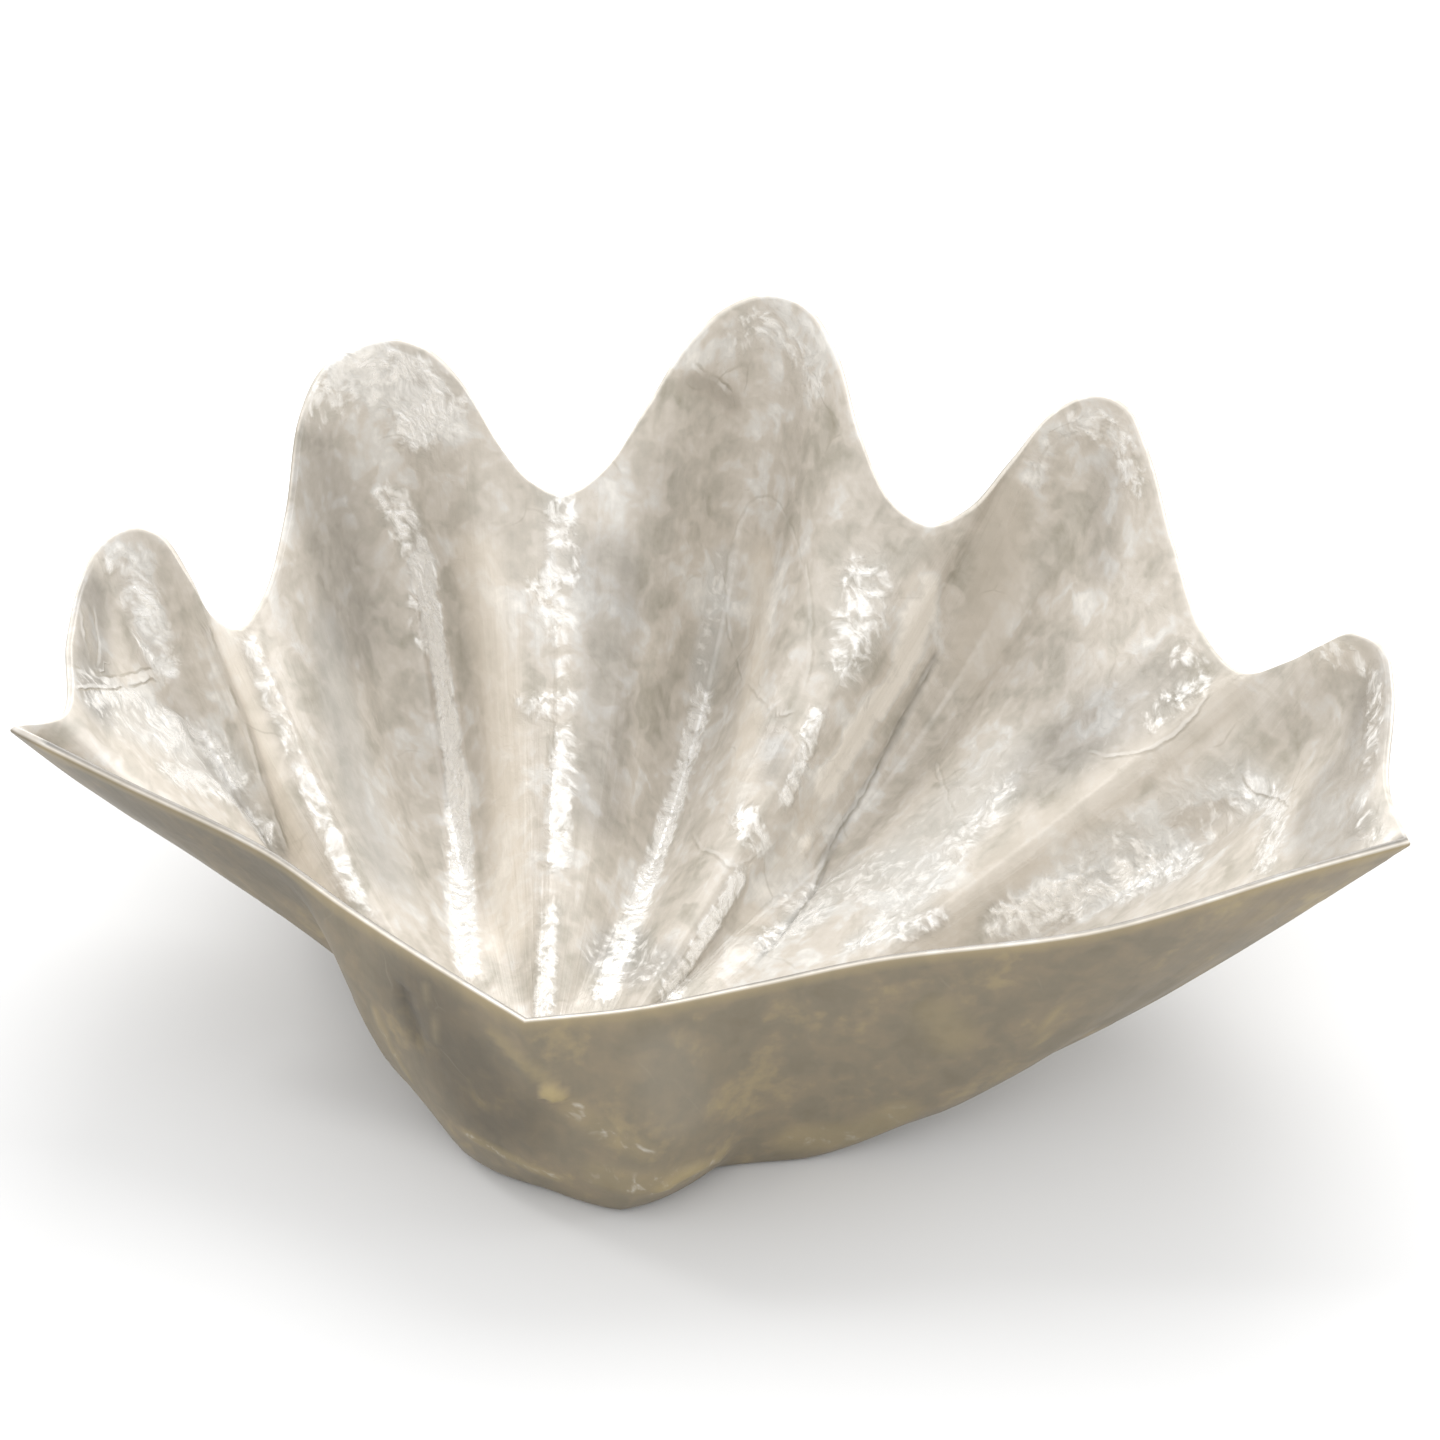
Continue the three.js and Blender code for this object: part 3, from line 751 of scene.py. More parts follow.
        ("lobe 1 left side", 0.5, 0.79), ("lobe 1 top", 0.75, 0.75), ("lobe 1 top", 0, 0.73),
        ("lobe 1 shoulder", 0.75, 0.69))),
    ("lobe 1 lower wave", 12, 1.6, 1.3, -0.3, 0, (
        ("lobe 1 front", 0.17, 0.78), ("lobe 1 left side", 0.38, 0.7), ("lobe 1 left shoulder", 0, 0.63),
        ("lobe 1 top", 0, 0.6))),
    ("crest 12 band", 10, 0.5, 0, 0.7, 0, (
        ("lobe 1 foot", 0.2, 0.96), ("lobe 1 foot", 0.5, 0.81), ("lobe 1 flank", 0.5, 0.61),
        ("lobe 1 shoulder", 0, 0.5))),
    # Painted shade in the groove beside crest 12.
    ("crest 12 groove", 4, -1, 0, 0, -0.2, (
        ("lobe 1 flank", 0, 0.93), ("lobe 1 flank", 0, 0.79), ("lobe 1 flank", 0.5, 0.68),
        ("lobe 1 shoulder", 0.5, 0.57))),
    ("crest 12 bead", 7, 1.2, 0.8, -0.2, 0, (
        ("lobe 2 left foot", 0.88, 0.97), ("notch 12", 0, 0.82), ("notch 12", 0.25, 0.69),
        ("notch 12", 0.75, 0.56), ("lobe 1 foot", 0.1, 0.48))),
    ("crest 12 upper glints", 8, 0, 1, 0, 0, (("lobe 2 left foot", 0.88, 0.97), ("notch 12", 0, 0.88))),
    ("crest 12 lower glints", 8, 0, 1.15, 0, 0, (
        ("notch 12", 0.1, 0.75), ("notch 12", 0.5, 0.6), ("notch 12", 0.9, 0.53))),
    # Painted shade on flanks, corners, edges and hollows that the lamps light too strongly, on the floor
    # near the beak and on the rim's lip; painted highlights on the crest 34 bump and the lobe 1 bubble.
    ("lobe 2 left flank", 22, 0, 0, 0, -0.14, (
        ("lobe 2 left flank", 0.5, 0.96), ("lobe 2 left flank", 0.62, 0.82),
        ("lobe 2 left flank", 0.88, 0.66), ("lobe 2 left foot", 0.12, 0.55))),
    ("left corner", 20, 0, 0, 0, -0.12, (("left side", 0.6, 0.96), ("left side", 0, 0.95))),
    ("lobe 1 left edge", 22, 0, 0, 0, -0.45, (
        ("lobe 1 left side", 0.12, 0.99), ("lobe 1 left side", 0.75, 0.96), ("lobe 1 front", 0.4, 0.96))),
    ("crest 45 left flank", 30, 0, 0.15, 0, -0.26, (
        ("notch 45", 0.88, 0.91), ("lobe 4 foot", 0.12, 0.83), ("lobe 4 foot", 0.3, 0.72))),
    ("lobe 5 right side", 30, 0, 0, 0.3, -0.42, (
        ("lobe 5 front", 0.2, 0.98), ("right side", 0.5, 0.96), ("right side", 0.55, 0.9),
        ("right tip", 0.75, 0.93))),
    ("crest 34 hollow", 12, 0, 0, 0, -0.15, (("lobe 3 foot", 0.3, 0.66), ("notch 34", 0.5, 0.6))),
    ("crest 34 bump", 5, 1.5, 0.3, 0.3, 0.2, (("lobe 4 back", 0.2, 0.44), ("lobe 4 back", 0.1, 0.43))),
    ("lobe 1 bubble", 5, 1.2, 1.2, -0.2, 0.1, (
        ("lobe 1 left shoulder", 0, 0.98), ("lobe 1 top", 0.5, 0.99))),
    ("floor", 15, 0.3, 0.65, -0.5, -0.22, (
        ("lobe 3 left shoulder", 0.2, 0.23), ("lobe 3 flank", 0.1, 0.26), ("notch 34", 0.9, 0.3))),
    ("front rim", 5, 0, 0, 0.2, -0.6, FRONT_RIM),
))

# Edges of single flakes on the inner face: name, strength and line
FLAKE_EDGES = tuple(FlakeEdge(*row) for row in (
    ("lobe 1 seam low", 1, (
        ("lobe 1 front", 0.58, 1), ("lobe 1 front", 0.08, 0.93), ("lobe 1 left side", 0.25, 0.87),
        ("lobe 1 left shoulder", 0, 0.83))),
    ("lobe 1 seam top", 0.9, (
        ("lobe 1 top", 0.75, 0.84), ("lobe 1 left side", 0, 0.87), ("lobe 1 left side", 0.75, 0.92),
        ("lobe 1 front", 0.33, 1))),
    ("lobe 1 strip left", 0.6, (
        ("lobe 1 front", 0, 0.96), ("lobe 1 left side", 0.75, 0.98), ("lobe 1 left side", 0.38, 1))),
    ("lobe 1 strip right", 0.6, (
        ("lobe 1 left side", 0.12, 0.98), ("lobe 1 left side", 0.5, 0.95),
        ("lobe 1 left side", 0.88, 0.95))),
    ("crest 12 fold", 0.9, (
        ("lobe 1 shoulder", 0.25, 0.57), ("lobe 1 flank", 0.62, 0.67), ("lobe 1 flank", 0, 0.79),
        ("lobe 1 flank", 0, 0.86), ("lobe 1 foot", 0.75, 0.95))),
    ("lobe 3 golden flake", 1, (
        ("lobe 3 top", 0.75, 0.93), ("lobe 3 left shoulder", 0.5, 0.96), ("lobe 3 left side", 0, 0.99))),
    ("lobe 3 oval", 0.4, (
        ("lobe 3 flank", 0.38, 0.82), ("lobe 3 shoulder", 0.5, 0.83), ("lobe 3 top", 0.12, 0.79),
        ("lobe 3 top", 0.12, 0.73), ("lobe 3 shoulder", 0.62, 0.67), ("lobe 3 side", 0.38, 0.63),
        ("lobe 3 foot", 0.5, 0.67))),
    ("lobe 3 oval right", 0.4, (
        ("notch 34", 0.88, 0.71), ("lobe 3 foot", 0.12, 0.76), ("lobe 3 foot", 0.75, 0.81),
        ("lobe 3 flank", 0.38, 0.83))),
    ("lobe 3 low flake", 0.5, (
        ("lobe 3 top", 0.12, 0.53), ("lobe 3 shoulder", 0.62, 0.46), ("lobe 3 flank", 0.88, 0.43),
        ("lobe 3 foot", 0, 0.46), ("lobe 4 end", 0.62, 0.45), ("lobe 4 end", 0, 0.47))),
    ("lobe 3 small strip", 0.8, (
        ("lobe 3 foot", 0.88, 0.66), ("lobe 3 foot", 0.5, 0.66), ("notch 34", 0.75, 0.69))),
    ("crest 34 slab right", 0.8, (
        ("lobe 4 flank", 0.62, 0.32), ("lobe 4 top", 0.12, 0.43), ("lobe 4 top", 0.5, 0.53),
        ("lobe 4 top", 0.88, 0.63), ("lobe 4 top", 0.88, 0.73))),
    ("lobe 4 brow", 0.4, (
        ("lobe 4 flank", 0.62, 0.98), ("lobe 4 top", 0.25, 0.97), ("lobe 4 top", 0.75, 0.96),
        ("lobe 4 top", 0.5, 0.92))),
    ("lobe 4 low arc", 0.4, (
        ("lobe 4 foot", 0, 0.61), ("lobe 4 foot", 0.88, 0.58), ("lobe 4 flank", 0.5, 0.58))),
    ("crest 45 fold", 0.7, (
        ("lobe 4 foot", 0, 0.78), ("notch 45", 0.38, 0.81), ("lobe 5 foot", 0.88, 0.85),
        ("lobe 5 foot", 0.88, 0.91), ("notch 45", 0.12, 0.96))),
    ("lobe 5 flake", 0.8, (
        ("lobe 5 top", 0.5, 0.82), ("lobe 5 shoulder", 0.25, 0.8), ("right side", 0.88, 0.84))),
))

# Features of the outer face, in the same order as those of the inner face
OUTER_MARKS = tuple(FoldMark(*row) for row in (
    # The nub is raised and golden, with a painted highlight on it.
    ("nub", 6, 3, 0, 0.4, 0.6, (("beak", 0.22, 0.883), ("beak", 0.27, 0.878))),
    ("nub ridge", 5, 0.8, 0, 0.4, 0, (
        ("left front 2", 0.7, 0.96), ("beak", 0.1, 0.92), ("beak", 0.25, 0.88))),
    ("nub smear", 9, 0.3, 0.3, 0.25, 0, (
        ("beak", 0.4, 0.85), ("beak", 0.7, 0.8), ("right front 1", 0, 0.76))),
    ("beak lump", 12, 1, 0.3, 0.3, 0, (
        ("beak", 0.7, 0.66), ("right front 1", 0.1, 0.64), ("right front 1", 0.4, 0.64))),
    ("beak ridge", 5, 1.5, 0.3, 0.4, 0, (
        ("right front 1", 0.2, 0.62), ("right front 1", 0.4, 0.66), ("right front 1", 0.75, 0.63))),
    ("left foot strip", 5, 0.5, 0.4, 0.5, 0, (
        ("left front 2", 0.3, 0.65), ("left front 2", 0.8, 0.64), ("beak", 0.3, 0.6))),
    ("left edge strip", 4, 0.5, 0.3, 0.4, 0, (
        ("left front 3", 0.25, 0.81), ("left front 3", 0.35, 0.72), ("left front 3", 0.5, 0.66))),
    # The left of the outer face is made dark towards the left; in its recess the dark is painted shade.
    ("left side", 40, 0, 0, 0, -0.4, (("left front 2", 0, 0.92), ("left front 2", 0.6, 0.8))),
    ("left band", 30, 0, 0, 0, -0.24, (
        ("left tip", 0.6, 0.95), ("left front 5", 0.5, 0.93), ("left front 4", 0, 0.9))),
    ("left recess", 7, -1.5, 0, 0, -0.2, (("left front 3", 0.7, 0.92), ("left front 3", 0.8, 0.84))),
    ("left pale streak", 2.5, 0.6, 0, 0.2, 0.2, (("left front 2", 0, 0.97), ("left front 2", 0.1, 0.88))),
    ("grey flake", 20, 0, 0.1, -0.4, 0.1, (("right front 1", 0.2, 0.93), ("right front 1", 0.3, 0.83))),
    ("right pale streak", 3, 0.4, 0.2, 0.5, 0, (("right front 4", 0, 0.88), ("right front 4", 0.05, 0.8))),
    ("right foot blush", 16, 0, 0.2, 0.4, 0, (
        ("right front 2", 0.6, 0.63), ("right front 3", 0.1, 0.62), ("right front 3", 0.3, 0.67))),
    ("right middle blush", 14, 0, 0.1, 0.3, 0, (
        ("right front 3", 0.3, 0.92), ("right front 3", 0.45, 0.86))),
    ("front rim", 5, 0, 0, 0.4, 0.1, FRONT_RIM),
    ("right end", 30, 0, 0, 0, 0.14, (("right front 5", 0, 0.93), ("right front 5", 0.6, 0.95))),
))


@dataclass(frozen=True)
class MotherOfPearl:
    """Mother-of-pearl flakes laid on a resin wall under a clear lacquer.

    Real nacre is a stack of thin mineral layers. The eye gets pale cloudy tints that change
    from flake to flake, a satin shine from below the lacquer, and broken glints where
    the flakes are crinkled. Here those glints, and a pale line along the edge of a lapped
    flake, are painted highlights: near-white blended into the base colour. Sizes are in
    millimetres.
    """

    name: str = "mother_of_pearl"
    inside: tuple[tuple[float, str], ...] = (
        (0.0, "#928A7C"),
        (0.2, "#A6A093"),
        (0.38, "#B8B2A7"),
        (0.5, "#C2BBB0"),
        (0.62, "#CAC3B9"),
        (0.76, "#D1CEC8"),
        (1.0, "#EEEAE3"),
    )
    # The outer ramp lies below the inner one: partly the outer flakes' own olive tint, partly painted shade
    # for the underside, which faces away from the lamps.
    outside: tuple[tuple[float, str], ...] = (
        (0.05, "#605744"),
        (0.3, "#706653"),
        (0.48, "#79705E"),
        (0.65, "#837762"),
        (0.95, "#948667"),
    )
    warm: str = "#E3D9CA"
    gold: str = "#AD9B6E"
    silver: str = "#C6C6C3"
    grey: str = "#858278"
    painted_glint: str = "#F1EFEB"
    crack: str = "#8F8776"

    # Sizes of the patterns
    warp: float = 18.0
    warp_reach: float = 14.0
    flake: float = 44.0
    chip: float = 15.0
    cloud: float = 30.0
    mottle: float = 5.0
    streak: float = 9.0
    streak_squeeze: float = 0.14
    pucker: float = 5.5
    pucker_lean: float = -35.0
    pucker_stretch: float = 1.7
    crumple: float = 4.0
    grain: float = 3.4
    edge_waver: float = 7.0
    edge_reach: float = 3.0
    edge_fade: float = 16.0
    crack_patch: float = 25.0
    crack_width: float = 0.02

    # Where a noise turns from 0 to 1, for patterns with soft borders
    borders: tuple[tuple[str, float, float], ...] = (
        ("flake", 0.46, 0.54), ("chip", 0.45, 0.57), ("fade", 0.3, 0.6), ("cracked", 0.55, 0.75))

    # Tints: where a plain flake lies on the ramps, and how far each pattern moves it
    tint_level: float = 0.55
    tint_weights: tuple[tuple[str, float], ...] = (
        ("flake", 0.12), ("clouds", 0.75), ("chip", 0.13), ("streaks", 0.22), ("mottle", 0.3),
        ("puckers", 0.35))
    outer_calm: float = 0.45
    warm_share: float = 0.7
    gold_share: float = 0.3
    gold_mottle: float = 0.3
    gold_range: tuple[float, float] = (0.7, 0.9)
    silver_share: float = 0.6

    # Heights of the fine relief, which the bump draws
    pucker_height: float = 1.4
    grain_height: float = 0.32
    facet_tilt: float = 0.08
    cloud_height: float = 0.5
    streak_height: float = 0.4
    lap_height: float = 0.5
    lap_width: float = 1.4
    crinkled_relief: float = 0.85
    plain_relief: float = 0.12
    outer_relief: float = 0.4

    # Glints: what raises a crest, and where crests and patches start to shine
    glint_weights: tuple[tuple[str, float], ...] = (
        ("puckers", 1.6), ("number", 0.15), ("crinkle", 0.5), ("grain", 1.0))
    glint_range: tuple[float, float] = (1.6, 2.22)
    patch_range: tuple[float, float] = (0.05, 0.6)

    # Edges: the place of the dark line and of the painted highlight line, where each is full, and where it
    # ends
    dark_line: tuple[float, float, float] = (-0.5, 0.2, 1.1)
    painted_edge_highlight: tuple[float, float, float] = (1.1, 0.4, 1.4)

    # Strength of the layers over the tint (painted highlights of the glints and edges, dark lines and
    # cracks), and the shine
    painted_glint_share: float = 0.95
    dark_share: float = 0.55
    lit_share: float = 0.35
    crack_share: float = 0.3
    roughness: float = 0.42
    outer_roughness: float = 0.1
    glint_polish: float = 0.16
    metal: float = 0.08
    glint_metal: float = 0.22
    lacquer: float = 0.2
    lacquer_roughness: float = 0.22

    def material(self) -> bpy.types.Material:
        """Build the finish.

        Returns:
            The material for the dish.
        """
        material = bpy.data.materials.new(self.name)
        material.use_nodes = True
        tree = material.node_tree
        tree.nodes.clear()
        node = partial(add_node, tree)
        given = self.attributes(tree)
        given.update(self.patterns(tree, given))
        bright = self.glints(tree, given)
        colour = self.edges(tree, given, self.tints(tree, given), bright)
        relief = self.heights(tree, given)
        bump = node("ShaderNodeBump", {"Strength": 1.0, "Distance": 1.0, "Height": relief})
        plain = node(MATH, (given["outside"], self.outer_roughness, self.roughness),
                     operation="MULTIPLY_ADD")
        shader = node("ShaderNodeBsdfPrincipled", {
            "Base Color": colour,
            "Roughness": node(MATH, (bright, -self.glint_polish, plain), operation="MULTIPLY_ADD"),
            "Normal": bump,
            "Metallic": node(MATH, (bright, self.glint_metal, self.metal), operation="MULTIPLY_ADD"),
            "Coat Weight": self.lacquer,
            "Coat Roughness": self.lacquer_roughness,
            "Coat Normal": bump,
        })
        node("ShaderNodeOutputMaterial", {"Surface": shader})
        return material

    def attributes(self, tree: bpy.types.NodeTree) -> Sockets:
        """Read the place and what the dish stores on its mesh.

        Args:
            tree: the material's tree.

        Returns:
            An output socket for the place and for each attribute, by name.
        """
        given = {name: add_node(tree, "ShaderNodeAttribute", attribute_name=name).outputs["Fac"]
                 for name in ("outside", "crinkle", "tone", "shade", "edge", "lap")}
        given["folds"] = add_node(tree, "ShaderNodeAttribute", attribute_name="folds").outputs["Vector"]
        given["place"] = add_node(tree, "ShaderNodeTexCoord").outputs["Object"]
        return given

    def patterns(self, tree: bpy.types.NodeTree, given: Sockets) -> Sockets:
        """Draw the patterns that the tints, the glints and the relief share.

        Args:
            tree: the material's tree.
            given: the place and the attributes.

        Returns:
            An output socket for each pattern, by name.
        """
        node = partial(add_node, tree)
        place = given["place"]

        # All patterns but the streaks are bent by one slow noise, so nothing runs straight.
        warp = node(NOISE, {"Vector": place, "Scale": 1 / (self.warp * MM), "Detail": 1.0})
        shift = node(VECTOR, (warp.outputs["Color"], (0.5, 0.5, 0.5)), operation="SUBTRACT")
        bent = node(VECTOR, (shift, (self.warp_reach * MM,) * 3, place), operation="MULTIPLY_ADD")

        # Puckers lie in leaning strokes, and streaks run along the folds.
        leaning = node("ShaderNodeMapping", {
            "Vector": bent,
            "Rotation": (0.0, math.radians(self.pucker_lean), 0.0),
            "Scale": (1.0, 1.0, self.pucker_stretch),
        }, vector_type="TEXTURE")
        along = node(VECTOR, (given["folds"], (1.0, 1.0, self.streak_squeeze)), operation="MULTIPLY")
        drawn = {name: node(NOISE, {"Vector": at, "Scale": 1 / (size * MM), "Detail": detail})
                 for name, at, size, detail in (
                     ("flake", bent, self.flake, 2.0),
                     ("chip", bent, self.chip, 2.0),
                     ("clouds", bent, self.cloud, 5.0),
                     ("streaks", along, self.streak, 3.0),
                     ("mottle", place, self.mottle, 2.0),
                     ("puckers", leaning, self.pucker, 3.0),
                     ("grain", leaning, self.grain, 2.0),
                     ("waver", place, self.edge_waver, 2.0),
                     ("fade", place, self.edge_fade, 1.0),
                     ("cracked", place, self.crack_patch, 1.0))}
        for name, low, high in self.borders:
            drawn[name] = node(STEP, (drawn[name], low, high), interpolation_type="SMOOTHSTEP")

        # Facets: small flat pieces of a crinkled flake, each with its own tilt and number
        cell = node("ShaderNodeTexVoronoi", {"Vector": bent, "Scale": 1 / (self.crumple * MM)}, feature="F1")
        tilt = node(VECTOR, (cell.outputs["Color"], (0.5, 0.5, 0.5)), operation="SUBTRACT")
        away = node(VECTOR, (bent, cell.outputs["Position"]), operation="SUBTRACT")
        cells = node("ShaderNodeTexVoronoi", {"Vector": bent, "Scale": 1 / (self.flake * MM)},
                     feature="DISTANCE_TO_EDGE")

        # The edges of single flakes waver and fade.
        sway = node(MATH, (drawn["waver"], 0.5), operation="SUBTRACT")
        return {name: pattern.outputs[0] for name, pattern in drawn.items()} | {
            "facets": node(VECTOR, (tilt, away), operation="DOT_PRODUCT").outputs["Value"],
            "number": node("ShaderNodeSeparateColor", {"Color": cell.outputs["Color"]}).outputs[1],
            "gap": cells.outputs["Distance"],
            "beside": node(MATH, (sway, self.edge_reach * MM, given["edge"]),
                           operation="MULTIPLY_ADD").outputs[0],
            "lapped": node(MATH, (given["lap"], drawn["fade"]), operation="MULTIPLY").outputs[0],
        }

    def tints(self, tree: bpy.types.NodeTree, given: Sockets) -> bpy.types.Node:
        """Mix the tints of the flakes: flakes of two levels, clouds, and streaks along the folds.

        Args:
            tree: the material's tree.
            given: the place, the attributes and the patterns.

        Returns:
            The node that gives the tint.
        """
        node = partial(add_node, tree)
        outer, tone, pale = given["outside"], given["tone"], given["shade"]
        detail: float | bpy.types.Node = 0.0
        for name, weight in self.tint_weights:
            centred = node(MATH, (given[name], 0.5), operation="SUBTRACT")
            detail = node(MATH, (centred, weight, detail), operation="MULTIPLY_ADD")
        calm = node(MATH, (outer, -self.outer_calm, 1.0), operation="MULTIPLY_ADD")
        # The shade of the marks: above zero it is mostly painted light, which moves the flake up the ramps.
        pale_tint_and_painted_light = node(MATH, (pale, 0.0), operation="MAXIMUM")
        level = node(MATH, (pale_tint_and_painted_light, self.tint_level), operation="ADD")
        shade = node(MATH, (detail, calm, level), operation="MULTIPLY_ADD")
        inner_ramp = node("ShaderNodeValToRGB", (shade,))
        fill_ramp(inner_ramp, self.inside)
        # The outer ramp holds the outer flakes' own olive tint with painted shade of the underside.
        outer_ramp = node("ShaderNodeValToRGB", (shade,))
        fill_ramp(outer_ramp, self.outside)
        colour = node(MIX, {"Factor": outer, 6: inner_ramp, 7: outer_ramp}, data_type="RGBA").outputs[2]

        # Warm and silvery marks, and golden clouds on the outer face
        cloudy = node(MATH, (given["mottle"], self.gold_mottle, given["clouds"]), operation="MULTIPLY_ADD")
        golden = node(STEP, (cloudy, *self.gold_range), interpolation_type="SMOOTHSTEP")
        golden = node(MATH, (golden, outer), operation="MULTIPLY")
        golden = node(MATH, (golden, self.gold_share), operation="MULTIPLY")
        warmer = node(MATH, (tone, self.warm_share), operation="MULTIPLY")
        warmth = node(MATH, (warmer, golden), operation="MAXIMUM")
        cooler = node(MATH, (tone, -self.silver_share), operation="MULTIPLY")
        for share, inner_tint, outer_tint in ((warmth, self.warm, self.gold),
                                              (cooler, self.silver, self.grey)):
            tint = node(MIX, {"Factor": outer, 6: linear(inner_tint), 7: linear(outer_tint)},
                        data_type="RGBA").outputs[2]
            colour = node(MIX, {"Factor": share, 6: colour, 7: tint}, data_type="RGBA").outputs[2]
        # Below zero the shade of the marks is mostly painted shade, and on the golden flakes their own deep
        # tint: it scales the finished colour down.
        dark_tint_and_painted_shade = node(MATH, (pale, 0.0), operation="MINIMUM")
        dark_tint_and_painted_shade = node(MATH, (dark_tint_and_painted_shade, 1.0), operation="ADD")
        return node(VECTOR, (colour, dark_tint_and_painted_shade), operation="MULTIPLY")

    def heights(self, tree: bpy.types.NodeTree, given: Sockets) -> bpy.types.Node:
        """Work out the fine relief: puckers and facets, strong in the puckered patches.

        Args:
            tree: the material's tree.
            given: the place, the attributes and the patterns.

        Returns:
            The node that gives the height, in metres.
        """
        node = partial(add_node, tree)
        creased = node(MATH, (given["crinkle"], 1.0), operation="MINIMUM")
        plain = node(MATH, (given["flake"], self.plain_relief, self.plain_relief), operation="MULTIPLY_ADD")
        strength = node(MATH, (creased, self.crinkled_relief, plain), operation="MULTIPLY_ADD")
        calm = node(MATH, (given["outside"], self.outer_relief - 1.0, 1.0), operation="MULTIPLY_ADD")
        strength = node(MATH, (strength, calm), operation="MULTIPLY")
        foil = node(MATH, (given["facets"], self.facet_tilt), operation="MULTIPLY")
        foil = node(MATH, (given["puckers"], self.pucker_height * MM, foil), operation="MULTIPLY_ADD")
        foil = node(MATH, (given["grain"], self.grain_height * MM, foil), operation="MULTIPLY_ADD")
        height = node(MATH, (given["streaks"], self.streak_height * MM), operation="MULTIPLY")
        height = node(MATH, (foil, strength, height), operation="MULTIPLY_ADD")
        height = node(MATH, (given["clouds"], self.cloud_height * MM, height), operation="MULTIPLY_ADD")
        half = self.lap_width * MM / 2
        step = node(STEP, (given["beside"], -half, half), interpolation_type="SMOOTHSTEP")
        step = node(MATH, (step, given["lapped"]), operation="MULTIPLY")
        return node(MATH, (step, self.lap_height * MM, height), operation="MULTIPLY_ADD")

    def glints(self, tree: bpy.types.NodeTree, given: Sockets) -> bpy.types.Node:
        """Find the glints: the crests of the puckers, broken up by the facets and the grain.

        Args:
            tree: the material's tree.
            given: the place, the attributes and the patterns.

        Returns:
            The node that gives 1 where the nacre glints and 0 elsewhere: the mask of the painted highlight
            and of the added metal and polish.
        """
        node = partial(add_node, tree)
        crest: float | bpy.types.Node = 0.0
        for name, weight in self.glint_weights:
            crest = node(MATH, (given[name], weight, crest), operation="MULTIPLY_ADD")
        shining = node(STEP, (crest, *self.glint_range), interpolation_type="SMOOTHSTEP")
        patch = node(STEP, (given["crinkle"], *self.patch_range), interpolation_type="SMOOTHSTEP")
        return node(MATH, (shining, patch), operation="MULTIPLY")

    def edges(self, tree: bpy.types.NodeTree, given: Sockets,
              tint: bpy.types.Node, bright: bpy.types.Node) -> bpy.types.NodeSocket:
        """Lay the glints, the edges of single flakes and the cracks over the tint.

        The glints are a painted highlight: near-white blended into the tint. A flake's edge is a
        dark line below the upper flake and a painted highlight line on it, strong and faint by
        turns. Cracks are thin dark lines where flakes meet, seen only here and there.

        Args:
            tree: the material's tree.
            given: the place, the attributes and the patterns.
            tint: the node that gives the tint.
            bright: the node that gives the glints.

        Returns:
            The output socket of the finished colour.
        """
        node = partial(add_node, tree)
        # Painted highlights: near-white laid over the tint on the glints and on the upper side of each
        # lapped edge.
        layers = [(bright, self.painted_glint_share, self.painted_glint)]
        for (place, full, end), share, colour in ((self.dark_line, self.dark_share, self.crack),
                                                  (self.painted_edge_highlight, self.lit_share, self.painted_glint)):
            away = node(MATH, (given["beside"], -place * MM), operation="ADD")
            away = node(MATH, (away,), operation="ABSOLUTE")
            away = node(STEP, (away, full * MM, end * MM), interpolation_type="SMOOTHSTEP")
            close = node(MATH, (1.0, away), operation="SUBTRACT")
            close = node(MATH, (close, given["lapped"]), operation="MULTIPLY")
            layers.append((close, share, colour))
        away = node(STEP, (given["gap"], 0.0, self.crack_width), interpolation_type="SMOOTHSTEP")
        close = node(MATH, (1.0, away), operation="SUBTRACT")
        close = node(MATH, (close, given["cracked"]), operation="MULTIPLY")
        layers.append((close, self.crack_share, self.crack))
        colour = tint.outputs[0]
        for amount, share, line in layers:
            factor = node(MATH, (amount, share), operation="MULTIPLY")
            colour = node(MIX, {"Factor": factor, 6: colour, 7: linear(line)}, data_type="RGBA").outputs[2]
        return colour


